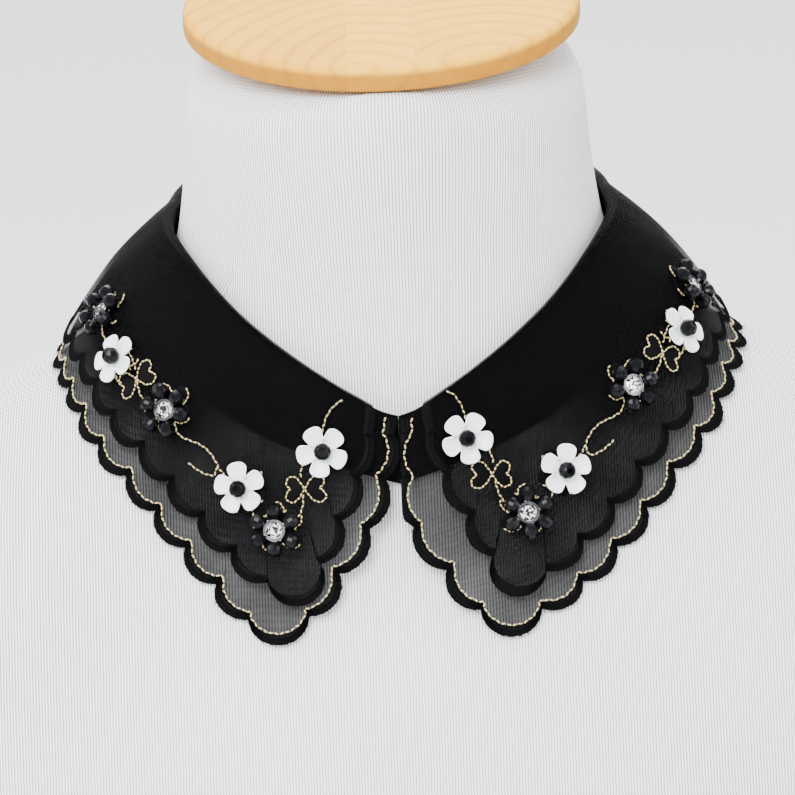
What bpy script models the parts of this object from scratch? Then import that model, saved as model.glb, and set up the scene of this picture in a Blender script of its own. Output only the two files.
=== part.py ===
"""A black organza collar with two scalloped falls, worn by a neck-and-shoulder dress form.

Lengths in the tables and functions are millimetres. Heights are counted there from the pit of
the neck, and the flat underside of the form lies FORM_FOOT below it. Meshes are made in metres,
with +Z up, the wearer's front towards -Y and the origin under the middle of the form's depth.
"""

import math

import bmesh
import bpy
import numpy as np

MM = 0.001

# The dress form and its cap
FORM_FOOT = 190.0
FORM_POINTS_ROUND = 44
CAP_RADIUS = 52.8
CAP_THICKNESS = 6.4
CAP_EDGE_ROUND = 2.2
CAP_EDGE_STEPS = 4
CAP_FOOT_BEVEL = 0.9
CAP_CENTRE_Y = -15.0
CAP_TOP_HEIGHT = 120.2
CAP_POINTS_ROUND = 40
SEAM_GAP = 0.3

# The cloth
STAND_WALL = 1.0
FALL_WALL = 1.0
STAND_OFF_NECK = 0.5
STAND_OPENING = 0.6
STAND_STEP = 6
HALVES_APART = 0.6
FALL_OVER_STAND = 2.8
FALL_AT_EDGE = 1.3
FALL_EASES_FROM = 0.5
FALL_EASES_TO = 0.85
FALL_BULGE = 0.8
FALL_BULGE_RISE = 0.6
FALLS_APART = 0.55
FALLS_APART_FROM = 0.2
BORDER_WIDTH = 2.8
BORDER_RISE = 0.5
RIDGE_PLACE = 0.45
UPPER_INSET = 8.2

# The collar sits a little askew: how far each point swings to the wearer's right, and at what
# depth below the pit in full, and how far the outer edge slips there, up to what angle
POINT_SWING = {"lower": 3.0, "upper": -0.6}
SWING_DEPTH = 26.0
SIDE_SLIP = 1.3
SLIP_END = 150.0
SLIP_FADE = 60.0

# The scallops
SCALLOP_DEPTH = 3.3
SCALLOPS_ROUND_SIDE = 19
STEPS_PER_SCALLOP = 5
STEPS_AT_POINT = 8
STEPS_AT_NOTCH = 2
PLAIN_DEPTH = 1.0
INSET_REACHED_IN = 6.0

# The rows across a fall between its border and the fold: share of the way, and most of an
# outline's own share
INNER_ROWS = {"low": (0.6, 0.75), "high": (0.3, 0.4), "fold": (0.0, 0.0)}
FOLD_LEAD = 17.0
LEAD_FADE = 9

# The ornaments
FLOWER_RADIUS = 6.7
BEAD_RADIUS = 2.0
BEAD_RING_RADIUS = 4.7
STONE_RADIUS = 2.65


class Table:
    """Rows of numbers under named columns, read smoothly between the rows."""

    def __init__(self, names, rows):
        self.columns = dict(zip(names.split(), np.array(rows, float).T))

    def at(self, key, name, place):
        keys = self.columns[key]
        values = self.columns[name]
        slopes = np.gradient(values, keys)
        place = np.clip(np.asarray(place, float), keys[0], keys[-1])
        row = np.clip(np.searchsorted(keys, place, side="right") - 1, 0, len(keys) - 2)
        span = keys[row + 1] - keys[row]
        t = (place - keys[row]) / span
        start = (2 * t**3 - 3 * t**2 + 1) * values[row] + (t**3 - 2 * t**2 + t) * span * slopes[row]
        end = (3 * t**2 - 2 * t**3) * values[row + 1] + (t**3 - t**2) * span * slopes[row + 1]
        return start + end

    def rows(self):
        return [dict(zip(self.columns, row)) for row in zip(*self.columns.values())]


# Level sections of the form; lean is the forward slope that the neck's sections take on
FORM = Table(
    "height half_width front back squareness lean",
    [
        (-190, 148, -103, 84, 2.4, 0),
        (-145, 159, -114, 92, 2.4, 0),
        (-100, 170, -109, 97, 2.4, 0),
        (-60, 178, -92, 98, 2.35, 0),
        (-35, 177, -80, 97, 2.3, 0),
        (-20, 169, -73, 95, 2.2, 0),
        (-8, 155, -68.5, 92, 2.15, 0),
        (4, 132.5, -65, 87, 2.1, 0),
        (16, 106, -62.5, 80, 2.05, 0),
        (24, 89.5, -61.5, 75, 2, 0),
        (31, 77, -61, 70, 2, 0),
        (38, 67, -61, 66, 2, 0),
        (46, 61.5, -61.5, 62, 2, 0),
        (58, 57.5, -62.5, 55.5, 2, 0),
        (75, 55, -65, 49, 2, 0.04),
        (95, 53.4, -67.5, 42.5, 2, 0.13),
        (113.5, 52.2, -68, 38, 2, 0.2),
    ],
)
FORM_RING_STEPS = (
    *range(-190, -60, 22),
    *(-60, -42, -28, -15, -5, 4, 12, 19, 25, 31, 37, 43, 50, 60, 75, 92, 113.5),
)

# The fold, where the falls turn over the stand, by the angle round the neck from the front
FOLD_HALF_WIDTH = 58.8
FOLD_HALF_DEPTH = 60.0
FOLD_CENTRE_Y = -6.0
FOLD_SQUEEZE = 3.4
SQUEEZE_FROM = 76.0
SQUEEZE_TO = 110.0
FOLD = Table(
    "angle height outer_angle",
    [
        (0, 18.5, 0),
        (4, 19.8, 12),
        (10, 23.4, 25),
        (20, 29.6, 37),
        (40, 42, 53),
        (60, 54.5, 70),
        (90, 66, 97),
        (120, 72, 125),
        (150, 76, 153),
        (180, 78, 180),
    ],
)

# The line through the notches of the lower fall, by the angle round the form's upright axis
OUTER_LINE = Table(
    "angle height",
    [
        (0, -41),
        (14, -39.5),
        (21, -36),
        (27, -31),
        (33, -24),
        (39, -16.3),
        (45, -7.6),
        (51, 0.8),
        (58, 8.4),
        (66, 15.8),
        (76, 21),
        (88, 23.8),
        (104, 26.5),
        (125, 29.5),
        (150, 32),
        (180, 33),
    ],
)

# The lower edge of the stand, on the root of the neck
STAND_FOOT = Table(
    "angle height",
    [(0, 0.5), (10, 4), (21, 8.5), (30, 13), (45, 22), (60, 30), (90, 37), (135, 48), (180, 54)],
)

# Notches of each fall's front edge, from the fold to the point, and the scallop below each
FRONT_EDGES = {
    "lower": Table(
        "out height depth",
        [
            (0.5, 18.6, 0.2),
            (0.7, 10.5, 0.3),
            (1.6, 1.5, 2.2),
            (6.6, -9.4, 3.0),
            (13.9, -20, 3.3),
            (22.2, -30.4, 6.6),
            (38.2, -31.2, 3.3),
        ],
    ),
    "upper": Table(
        "out height depth",
        [
            (6.4, 21.4, 0.4),
            (7.0, 14.5, 1.8),
            (10.9, 4.5, 2.6),
            (16.4, -6.3, 3.0),
            (22.3, -17, 8.2),
            (36.3, -21.6, 3.3),
        ],
    ),
}

# Centres of the ornaments on the upper fall, on the wearer's right and left
ORNAMENTS = {
    "white_flower": Table(
        "out_r height_r out_l height_l turn",
        [
            (19.9, 11.0, 17.4, 12.9, 8),
            (41.6, 1.8, 42.5, 2.9, 30),
            (73.3, 31.4, 76.0, 31.0, 50),
        ],
    ),
    "bead_flower": Table(
        "out_r height_r out_l height_l turn",
        [
            (32.9, -8.7, 32.3, -6.8, 10),
            (60.2, 20.2, 60.9, 21.4, 25),
            (77.3, 41.5, 81.0, 37.9, 0),
        ],
    ),
}


# The form's surface

def section_point(height, angle):
    """Points of the form's level sections; angle is counted from the front, in radians."""
    width = FORM.at("height", "half_width", height)
    front = FORM.at("height", "front", height)
    back = FORM.at("height", "back", height)
    power = 2 / FORM.at("height", "squareness", height)
    x = width * np.sign(np.sin(angle)) * np.abs(np.sin(angle)) ** power
    y = (front + back) / 2 - (back - front) / 2 * np.sign(np.cos(angle)) * np.abs(np.cos(angle)) ** power
    z = height - FORM.at("height", "lean", height) * -(y - (front + back) / 2)
    return np.stack([x, y, z], axis=-1)


def form_level(points):
    """1 on the form's surface, less inside and more outside."""
    x, y, z = np.moveaxis(points, -1, 0)
    width = FORM.at("height", "half_width", z)
    front = FORM.at("height", "front", z)
    back = FORM.at("height", "back", z)
    power = FORM.at("height", "squareness", z)
    across = np.abs(x / width) ** power
    deep = np.abs((y - (front + back) / 2) / ((back - front) / 2)) ** power
    return (across + deep) ** (1 / power)


def off_form(points, step=0.5):
    """Distance from the form, and the direction straight out of it."""
    ahead = np.stack([form_level(points + step * axis) for axis in np.eye(3)], axis=-1)
    behind = np.stack([form_level(points - step * axis) for axis in np.eye(3)], axis=-1)
    slope = (ahead - behind) / (2 * step)
    steepness = np.maximum(np.linalg.norm(slope, axis=-1), 1e-6)
    return (form_level(points) - 1) / steepness, slope / steepness[..., None]


def kept_clear(points, least):
    """The points, with those nearer the form than least moved straight out."""
    for _ in range(4):
        distance, outward = off_form(points)
        points = points + outward * np.maximum(least - distance, 0)[..., None]
    return points


def on_form(angle, height, distance, start=85.0, longest_step=12.0, least_slope=0.25):
    """The point at an angle and a height that lies a distance off the form."""
    heading = np.stack([np.sin(np.radians(angle)), -np.cos(np.radians(angle)), 0 * angle], axis=-1)
    reach = np.full(np.shape(angle), start)
    for _ in range(25):
        point = heading * reach[..., None] + np.stack([0 * height, 0 * height, height], axis=-1)
        gap, outward = off_form(point)
        along = np.maximum((outward * heading).sum(axis=-1), least_slope)
        reach = reach + np.clip((distance - gap) / along, -longest_step, longest_step)
    return point


# The falls' surface, by the angle on the fold and the share of the way to the outer line

def fold_point(angle, outward=0.0):
    """A point on the fold, which draws in behind the sides of the neck."""
    turn = np.radians(angle)
    behind = np.clip((angle - SQUEEZE_FROM) / (SQUEEZE_TO - SQUEEZE_FROM), 0, 1)
    squeeze = FOLD_SQUEEZE * behind**2 * (3 - 2 * behind)
    x = (FOLD_HALF_WIDTH - squeeze + outward) * np.sin(turn)
    y = FOLD_CENTRE_Y - (FOLD_HALF_DEPTH + outward) * np.cos(turn)
    return np.stack([x, y, FOLD.at("angle", "height", angle)], axis=-1)


def lower_middle(angle, share):
    """Middle of the lower fall's wall."""
    top = fold_point(angle, STAND_WALL / 2 + SEAM_GAP + FALL_WALL / 2)
    outer_angle = FOLD.at("angle", "outer_angle", angle)
    edge = on_form(outer_angle, OUTER_LINE.at("angle", "height", outer_angle), FALL_AT_EDGE)
    straight = top + (edge - top) * share[..., None]
    turn = np.radians(angle)
    heading = np.stack([np.sin(turn), -np.cos(turn), FALL_BULGE_RISE + 0 * turn], axis=-1)
    side = np.sin(np.radians(np.clip(angle, 0, 90))) ** 2
    crown = FALL_BULGE * side * np.sin(math.pi * np.clip(share, 0, 1))
    over_stand = np.clip((FALL_EASES_TO - share) / (FALL_EASES_TO - FALL_EASES_FROM), 0, 1)
    least = FALL_AT_EDGE + (FALL_OVER_STAND - FALL_AT_EDGE) * over_stand
    return kept_clear(straight + heading * crown[..., None], least)


class Sheet:
    """The middle of a wall of cloth, worked out on a grid of angles and shares and read between."""

    ANGLES = np.linspace(-8, 188, 197)
    SHARES = np.linspace(0, 1.16, 59)
    FRONT = 47.5

    def __init__(self, points):
        self.points = points
        by_angle = np.gradient(points, self.ANGLES, axis=0)
        by_share = np.gradient(points, self.SHARES, axis=1)
        outward = np.cross(by_share, by_angle)
        outward /= np.linalg.norm(outward, axis=-1)[..., None]
        self.grids = np.stack([points, by_angle, by_share, outward])

    def read(self, angle, share):
        """Point, slope along the fold, slope down the fall and outward direction."""
        across = (np.asarray(angle, float) - self.ANGLES[0]) / (self.ANGLES[1] - self.ANGLES[0])
        across = np.clip(across, 0, len(self.ANGLES) - 1.001)
        down = np.asarray(share, float) / (self.SHARES[1] - self.SHARES[0])
        down = np.clip(down, 0, len(self.SHARES) - 1.001)
        i = across.astype(int)
        j = down.astype(int)
        p = (across - i)[..., None]
        q = (down - j)[..., None]
        grids = self.grids
        near = grids[:, i, j] * (1 - q) + grids[:, i, j + 1] * q
        far = grids[:, i + 1, j] * (1 - q) + grids[:, i + 1, j + 1] * q
        return near * (1 - p) + far * p

    def at(self, angle, share):
        return self.read(angle, share)[0]

    def moved_out(self, lift):
        """The sheet that lies on this one, by a distance for each share."""
        return Sheet(self.points + self.grids[3] * lift[None, :, None])

    def found(self, out, height):
        """The angle and share of the point this far out from the middle and this high."""
        in_front = np.flatnonzero(np.abs(self.ANGLES - self.FRONT) <= self.FRONT)
        front = self.points[in_front]
        near = np.argmin(np.hypot(front[..., 0] - out, front[..., 2] - height))
        angle = self.ANGLES[in_front[near // len(self.SHARES)]]
        share = self.SHARES[near % len(self.SHARES)]
        for _ in range(8):
            here, by_angle, by_share, _ = self.read(angle, share)
            turn = np.array([[by_angle[0], by_share[0]], [by_angle[2], by_share[2]]])
            step = np.linalg.solve(turn, [out - here[0], height - here[2]])
            angle += np.clip(step[0], -3, 3)
            share += np.clip(step[1], -0.05, 0.05)
        return angle, share


# Scalloped outlines

def notches(layer, sheet, side):
    """(angle, share, depth) at each notch of one half, from the fold round to the middle back.

    side is 1 on the wearer's left and -1 on the right.
    """
    front = []
    for row in FRONT_EDGES[layer].rows():
        low = (FOLD.columns["height"][0] - row["height"]) / SWING_DEPTH
        out = row["out"] - side * POINT_SWING[layer] * min(max(low, 0), 1)
        front.append((*sheet.found(out, row["height"]), row["depth"]))
    start_angle, start_share, _ = front[-1]
    angles = np.linspace(start_angle, 180, 400)
    inset = 0.0 if layer == "lower" else UPPER_INSET
    inset = inset - side * SIDE_SLIP * np.clip((SLIP_END - angles) / SLIP_FADE, 0, 1)
    width = np.linalg.norm(sheet.at(angles, 1 + 0 * angles) - sheet.at(angles, 0 * angles), axis=1)
    settle = np.exp(-(angles - start_angle) / INSET_REACHED_IN)
    shares = (1 - inset / width) * (1 - settle) + start_share * settle
    line = sheet.at(angles, shares)
    run = np.concatenate([[0], np.cumsum(np.linalg.norm(np.diff(line, axis=0), axis=1))])
    stops = np.linspace(0, run[-1], SCALLOPS_ROUND_SIDE + 1)[1:]
    round_side = zip(np.interp(stops, run, angles), np.interp(stops, run, shares))
    return front + [(angle, share, SCALLOP_DEPTH) for angle, share in round_side]


def outline(layer, sheet, marks, inward):
    """Fine points of one half's scalloped edge, moved inward, as rows of (place, angle, share)."""
    point_scallop = len(FRONT_EDGES[layer].columns["out"]) - 2
    found = []
    for number, (start, end) in enumerate(zip(marks[:-1], marks[1:])):
        ends = sheet.at([start[0], end[0]], [start[1], end[1]])
        chord = np.linalg.norm(ends[1] - ends[0])
        depth = start[2]
        radius = (chord**2 / 4 + depth**2) / (2 * depth)
        half_turn = math.atan2(chord / 2, radius - depth)
        steps = STEPS_AT_POINT if number == point_scallop else STEPS_PER_SCALLOP
        steps = STEPS_AT_NOTCH if depth < PLAIN_DEPTH else steps
        turns = np.linspace(-half_turn, half_turn, steps + 1)
        along = 0.5 + radius * np.sin(turns) / chord
        rise = radius * np.cos(turns) + depth - radius - inward
        angle = start[0] + (end[0] - start[0]) * along
        share = start[1] + (end[1] - start[1]) * along
        _, by_angle, by_share, face = sheet.read(angle, share)
        heading = (end[0] - start[0]) * by_angle + (end[1] - start[1]) * by_share
        edgeward = np.cross(face, heading)
        edgeward /= np.linalg.norm(edgeward, axis=1)[:, None]
        for k in range(steps + (number == len(marks) - 2)):
            slopes = np.stack([by_angle[k], by_share[k]], axis=1)
            move = np.linalg.lstsq(slopes, -edgeward[k] * rise[k], rcond=None)[0]
            found.append((number + k / steps, angle[k] + move[0], share[k] + move[1]))
    return np.array(found)


def fold_spread(place, marks):
    """The angle on the fold that each place on the edge is drawn back to."""
    numbers = np.arange(len(marks))
    reached = np.interp(place, numbers, [mark[0] for mark in marks])
    point = len(marks) - SCALLOPS_ROUND_SIDE - 1.5
    ahead = np.interp(place, [0, point, point + LEAD_FADE], [0, FOLD_LEAD, 0])
    return reached + ahead


def fall_rows(layer, sheet, side):
    """Rows of one half of a fall: name to (places, middle points, outward directions)."""
    marks = notches(layer, sheet, side)
    inner = outline(layer, sheet, marks, BORDER_WIDTH)
    rows = {
        "edge": outline(layer, sheet, marks, 0.0),
        "ridge": outline(layer, sheet, marks, BORDER_WIDTH * RIDGE_PLACE),
        "inner": inner,
    }
    coarse = np.arange(0, (len(marks) - 1) * 2 + 1) / 2
    angle = np.interp(coarse, inner[:, 0], inner[:, 1])
    share = np.interp(coarse, inner[:, 0], inner[:, 2])
    top = fold_spread(coarse, marks)
    for name, (level, most) in INNER_ROWS.items():
        at_level = np.minimum(level, most * share)
        part_way = at_level / np.maximum(share, 0.01)
        rows[name] = np.stack([coarse, top + (angle - top) * part_way, at_level], axis=1)
    corner = marks[0]
    made = {}
    for name, line in rows.items():
        line[0, 1:] = corner[0], corner[1]
        line[:, 2] = np.maximum(line[:, 2], 0)
        line[-1, 1] = 180.0
        points, _, _, outward = sheet.read(line[:, 1], line[:, 2])
        front = points[:, 1] < 0
        points[front, 0] = np.maximum(points[front, 0], HALVES_APART / 2)
        made[name] = (line[:, 0], points, outward)
    return made


# Mesh making

def material(name, colour, roughness, metallic=0.0, alpha=1.0):
    made = bpy.data.materials.new(name)
    made.use_nodes = True
    shader = made.node_tree.nodes["Principled BSDF"]
    shader.inputs["Base Color"].default_value = (*colour, 1)
    shader.inputs["Roughness"].default_value = roughness
    shader.inputs["Metallic"].default_value = metallic
    shader.inputs["Alpha"].default_value = alpha
    return made


def solid(name, points, faces, finish, crease=40):
    """A closed mesh object from points in millimetres above the pit of the neck."""
    mesh = bpy.data.meshes.new(name)
    foremost = FORM.at("height", "front", FORM_RING_STEPS).min()
    rearmost = FORM.at("height", "back", FORM_RING_STEPS).max()
    placed = (np.asarray(points) + (0, -(foremost + rearmost) / 2, FORM_FOOT)) * MM
    mesh.from_pydata(placed.tolist(), [], [tuple(map(int, face)) for face in faces])
    work = bmesh.new()
    work.from_mesh(mesh)
    bmesh.ops.triangulate(work, faces=work.faces)
    bmesh.ops.recalc_face_normals(work, faces=work.faces)
    work.to_mesh(mesh)
    work.free()
    mesh.shade_smooth()
    mesh.set_sharp_from_angle(angle=math.radians(crease))
    mesh.materials.append(finish)
    made = bpy.data.objects.new(name, mesh)
    bpy.context.scene.collection.objects.link(made)
    return made


class Skin:
    """Points and faces of a shape that is stitched together row by row."""

    def __init__(self):
        self.points = []
        self.faces = []

    def row(self, points):
        start = len(self.points)
        self.points.extend(points)
        return list(range(start, len(self.points)))

    def stitch(self, first, second, first_place, second_place):
        """Triangles between two rows whose points lie at rising places."""
        i = j = 0
        while i < len(first) - 1 or j < len(second) - 1:
            ahead_first = first_place[i + 1] if i < len(first) - 1 else math.inf
            ahead_second = second_place[j + 1] if j < len(second) - 1 else math.inf
            if ahead_first < ahead_second:
                corners = (first[i], first[i + 1], second[j])
                i += 1
            else:
                corners = (first[i], second[j + 1], second[j])
                j += 1
            if len(set(corners)) == 3:
                self.faces.append(corners)

    def quads(self, first, second):
        for a, b, c, d in zip(first[:-1], first[1:], second[1:], second[:-1]):
            self.faces.append((a, b, c, d))


def whole_row(places, left, right):
    """The wearer's left half's row and the mirrored right half's as one run of rising places."""
    last = places[-1]
    mirrored = right[::-1] * (-1, 1, 1)
    along = np.concatenate([places - last, (last - places)[::-1][1:]])
    return along, np.concatenate([left, mirrored[1:]])


def make_fall(name, layer, sheet, finish):
    left = fall_rows(layer, sheet, 1)
    right = fall_rows(layer, sheet, -1)
    skin = Skin()
    outer_rows = list(left)
    inner_rows = ["edge", *INNER_ROWS]
    made = {}
    for side, names in ((1, outer_rows), (-1, inner_rows)):
        ends = None
        for row in names:
            rise = side * FALL_WALL / 2 + (BORDER_RISE if row == "ridge" else 0.0)
            halves = [half[row][1] + half[row][2] * rise for half in (left, right)]
            along, points = whole_row(left[row][0], *halves)
            if ends is None:
                numbers = skin.row(points)
                ends = (numbers[0], numbers[-1])
            else:
                numbers = [ends[0]] + skin.row(points[1:-1]) + [ends[1]]
            made[row, side] = (numbers, along)
    for side, names in ((1, outer_rows), (-1, inner_rows)):
        for first, second in zip(names[:-1], names[1:]):
            (numbers, along), (next_numbers, next_along) = made[first, side], made[second, side]
            skin.stitch(numbers, next_numbers, along, next_along)
    for row in ("edge", "fold"):
        skin.quads(made[row, 1][0], made[row, -1][0])
    return solid(name, skin.points, skin.faces, finish, crease=50)


def make_stand(finish):
    """The band round the neck, open at the middle front."""
    half_opening = math.degrees(STAND_OPENING / 2 / FOLD_HALF_DEPTH)
    between = np.arange(STAND_STEP, 360, STAND_STEP)
    angles = np.concatenate([[half_opening], between, [360 - half_opening]])
    mirror = np.where(angles > 180, -1.0, 1.0)[:, None] * (1, 0, 0) + np.array([0, 1, 1])
    turned = np.where(angles > 180, 360 - angles, angles)
    foot = on_form(turned, STAND_FOOT.at("angle", "height", turned), STAND_OFF_NECK + STAND_WALL / 2)
    top = fold_point(turned)
    skin = Skin()
    rows = []
    for share in (1.0, 0.5, 0.0):
        middle = kept_clear(top + (foot - top) * share, STAND_OFF_NECK + STAND_WALL / 2)
        outward = off_form(middle)[1]
        for side in (1, -1):
            rows.append(skin.row((middle + outward * side * STAND_WALL / 2) * mirror))
    foot_out, foot_in, half_out, half_in, top_out, top_in = rows
    for first, second in (
        (foot_out, half_out),
        (half_out, top_out),
        (top_out, top_in),
        (top_in, half_in),
        (half_in, foot_in),
        (foot_in, foot_out),
    ):
        skin.quads(first, second)
    for end in (0, -1):
        skin.faces.append((foot_out[end], half_out[end], half_in[end], foot_in[end]))
        skin.faces.append((half_out[end], top_out[end], top_in[end], half_in[end]))
    return solid("neck_stand", skin.points, skin.faces, finish)


def make_form(finish):
    angles = np.arange(FORM_POINTS_ROUND) * 2 * math.pi / FORM_POINTS_ROUND
    skin = Skin()
    rings = []
    for height in FORM_RING_STEPS:
        ring = skin.row(section_point(np.full(FORM_POINTS_ROUND, float(height)), angles))
        rings.append(ring + ring[:1])
    for first, second in zip(rings[:-1], rings[1:]):
        skin.quads(first, second)
    skin.faces.append(rings[0][:-1][::-1])
    skin.faces.append(rings[-1][:-1])
    return solid("form", skin.points, skin.faces, finish, crease=60)


def make_cap(finish):
    """The turned wooden cap, square to the leaning neck and just clear of it."""
    lean = math.atan(FORM.columns["lean"][-1])
    profile = [
        (CAP_RADIUS - CAP_FOOT_BEVEL, -CAP_THICKNESS),
        (CAP_RADIUS, -CAP_THICKNESS + CAP_FOOT_BEVEL),
    ]
    for step in range(CAP_EDGE_STEPS + 1):
        turn = step / CAP_EDGE_STEPS * math.pi / 2
        radius = CAP_RADIUS - CAP_EDGE_ROUND * (1 - math.cos(turn))
        profile.append((radius, -CAP_EDGE_ROUND * (1 - math.sin(turn))))
    angles = np.arange(CAP_POINTS_ROUND) * 2 * math.pi / CAP_POINTS_ROUND
    skin = Skin()
    rings = []
    for radius, rise in profile:
        flat = np.stack([radius * np.sin(angles), -radius * np.cos(angles), 0 * angles + rise], axis=1)
        leaned = flat.copy()
        leaned[:, 1] = flat[:, 1] * math.cos(lean) - flat[:, 2] * math.sin(lean)
        leaned[:, 2] = flat[:, 1] * math.sin(lean) + flat[:, 2] * math.cos(lean)
        ring = skin.row(leaned + (0, CAP_CENTRE_Y, CAP_TOP_HEIGHT))
        rings.append(ring + ring[:1])
    for first, second in zip(rings[:-1], rings[1:]):
        skin.quads(first, second)
    skin.faces.append(rings[0][:-1][::-1])
    skin.faces.append(rings[-1][:-1])
    return solid("neck_cap", skin.points, skin.faces, finish, crease=50)


# Rings of the ornaments' turned outlines: how much each follows the petals or the beads
PETALS = 5
FLOWER_RINGS = Table(
    "radius height petals",
    [
        (0.8, 3.6, 0),
        (BEAD_RADIUS, 2.3, 0),
        (BEAD_RADIUS, 1.0, 0),
        (FLOWER_RADIUS, 2.4, 1),
        (FLOWER_RADIUS - 0.4, 1.6, 1),
        (1.6, 0, 0),
    ],
)
BEADS = 6
BEAD_RINGS = Table(
    "radius height petals",
    [
        (0.9, 4.0, 0),
        (STONE_RADIUS, 3.2, 0),
        (STONE_RADIUS + 0.4, 2.2, 0),
        (BEAD_RING_RADIUS, 3.9, 0.5),
        (BEAD_RING_RADIUS + BEAD_RADIUS, 2.0, 1),
        (BEAD_RING_RADIUS + 0.5, 0, 0.6),
    ],
)


def make_ornament(name, sheet, rings, parts, dent, at, turn, mirrored, finish):
    """A closed flower whose rings swell at each petal or bead, laid on the upper fall."""
    steps = parts * 4
    angles = np.arange(steps) * 2 * math.pi / steps
    centre, by_angle, _, outward = sheet.read(*sheet.found(*at))
    across = by_angle / np.linalg.norm(by_angle)
    down = np.cross(across, outward)
    seat = centre + outward * (FALL_WALL / 2 + SEAM_GAP)
    skin = Skin()
    made = []
    for row in rings.rows():
        swell = 1 - dent * row["petals"] * (0.5 - 0.5 * np.cos(parts * angles)) ** 2
        turned = angles + math.radians(turn)
        x = row["radius"] * swell * np.cos(turned)
        y = row["radius"] * swell * np.sin(turned)
        points = seat + x[:, None] * across + y[:, None] * down + row["height"] * outward
        ring = skin.row(points * ((-1, 1, 1) if mirrored else (1, 1, 1)))
        made.append(ring + ring[:1])
    for first, second in zip(made[:-1], made[1:]):
        skin.quads(first, second)
    skin.faces.append(made[0][:-1])
    skin.faces.append(made[-1][:-1])
    return solid(name, skin.points, skin.faces, finish, crease=60)


for left_over in list(bpy.data.objects):
    bpy.data.objects.remove(left_over)

make_form(material("White rib jersey", (0.82, 0.83, 0.84), 0.9))
make_cap(material("Lacquered maple", (0.80, 0.55, 0.30), 0.35))
make_stand(material("Doubled black organza", (0.012, 0.012, 0.014), 0.55))
angles, shares = np.meshgrid(Sheet.ANGLES, Sheet.SHARES, indexing="ij")
past_middle = (angles < 0) | (angles > 180)
middle = lower_middle(180 - np.abs(180 - np.abs(angles)), shares)
lower_sheet = Sheet(np.where(past_middle[..., None], middle * (-1, 1, 1), middle))
apart = SEAM_GAP + (FALLS_APART - SEAM_GAP) * np.clip(Sheet.SHARES / FALLS_APART_FROM, 0, 1)
upper_sheet = lower_sheet.moved_out(FALL_WALL + apart)
single_organza = material("Black organza", (0.05, 0.05, 0.055), 0.6)
make_fall("fall_lower", "lower", lower_sheet, single_organza)
layered_organza = material("Black organza, upper", (0.03, 0.03, 0.033), 0.6)
make_fall("fall_upper", "upper", upper_sheet, layered_organza)

for kind, rings, parts, dent, colour, roughness in (
    ("white_flower", FLOWER_RINGS, PETALS, 0.42, (0.84, 0.88, 0.87), 0.4),
    ("bead_flower", BEAD_RINGS, BEADS, 0.22, (0.02, 0.02, 0.024), 0.15),
):
    for number, row in enumerate(ORNAMENTS[kind].rows(), 1):
        for side in ("r", "l"):
            made_name = f"{kind}_{side}{number}"
            make_ornament(
                made_name,
                upper_sheet,
                rings,
                parts,
                dent,
                (row[f"out_{side}"], row[f"height_{side}"]),
                row["turn"],
                side == "r",
                material(made_name, colour, roughness),
            )
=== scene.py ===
import math

import bmesh
import bpy
import numpy as np
from mathutils import Matrix, Vector


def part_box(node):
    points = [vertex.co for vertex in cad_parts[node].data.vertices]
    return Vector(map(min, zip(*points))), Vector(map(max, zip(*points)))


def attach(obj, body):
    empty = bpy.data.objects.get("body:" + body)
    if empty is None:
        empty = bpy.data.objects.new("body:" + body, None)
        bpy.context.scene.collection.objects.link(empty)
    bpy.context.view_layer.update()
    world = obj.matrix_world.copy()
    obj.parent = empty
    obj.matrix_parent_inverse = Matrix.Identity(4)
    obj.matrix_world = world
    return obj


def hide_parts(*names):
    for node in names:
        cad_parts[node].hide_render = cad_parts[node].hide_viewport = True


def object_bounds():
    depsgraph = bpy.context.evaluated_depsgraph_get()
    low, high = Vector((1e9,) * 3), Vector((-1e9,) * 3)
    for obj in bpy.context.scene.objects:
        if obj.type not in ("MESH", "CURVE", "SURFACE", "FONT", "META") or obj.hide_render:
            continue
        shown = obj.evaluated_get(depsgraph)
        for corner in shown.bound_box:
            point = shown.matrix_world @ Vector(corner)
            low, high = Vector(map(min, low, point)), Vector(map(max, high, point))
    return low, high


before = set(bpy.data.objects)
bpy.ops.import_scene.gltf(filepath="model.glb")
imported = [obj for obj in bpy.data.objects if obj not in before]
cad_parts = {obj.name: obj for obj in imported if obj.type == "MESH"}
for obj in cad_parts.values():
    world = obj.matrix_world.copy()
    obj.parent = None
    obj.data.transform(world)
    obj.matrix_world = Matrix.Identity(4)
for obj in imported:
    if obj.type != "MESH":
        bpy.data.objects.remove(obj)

cad_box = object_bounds()


# The place it is seen in: a pale floor under soft studio light, with the camera in front of the
# collar and a little above it, turned slightly clockwise.
MM = 0.001
FORM_FOREMOST = 113.9 * MM
FORM_FOOT = 190 * MM
foot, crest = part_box("form")
PIT_OF_NECK = Vector((0, foot[1] + FORM_FOREMOST, foot[2] + FORM_FOOT))
CAMERA_AIM = PIT_OF_NECK + Vector((0, 0, 7 * MM))
CAMERA_DISTANCE = 1.2
CAMERA_HEIGHT = math.radians(14)
CAMERA_TURN = math.radians(-2.4)
PHOTO_SIDE = 795
FOCAL_PIXELS = 4363.6
FLOOR_SIDE = 12.0
FLOOR_COLOUR = (0.70, 0.70, 0.70)
LAMPS = {
    # place of the lamp from the pit of the neck, side, power
    "lamp_front": ((-0.5, -1.9, 1.5), 1.3, 135),
    "lamp_left": ((-1.9, -0.3, 1.2), 1.2, 40),
    "lamp_right": ((1.8, -0.7, 1.0), 1.2, 26),
    "lamp_top": ((0.0, 0.5, 2.2), 1.5, 44),
    "lamp_behind": ((0.0, 2.8, 2.6), 2.4, 120),
}
WORLD_COLOUR = (0.95, 0.975, 1.0)
WORLD_STRENGTH = 1.35

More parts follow.
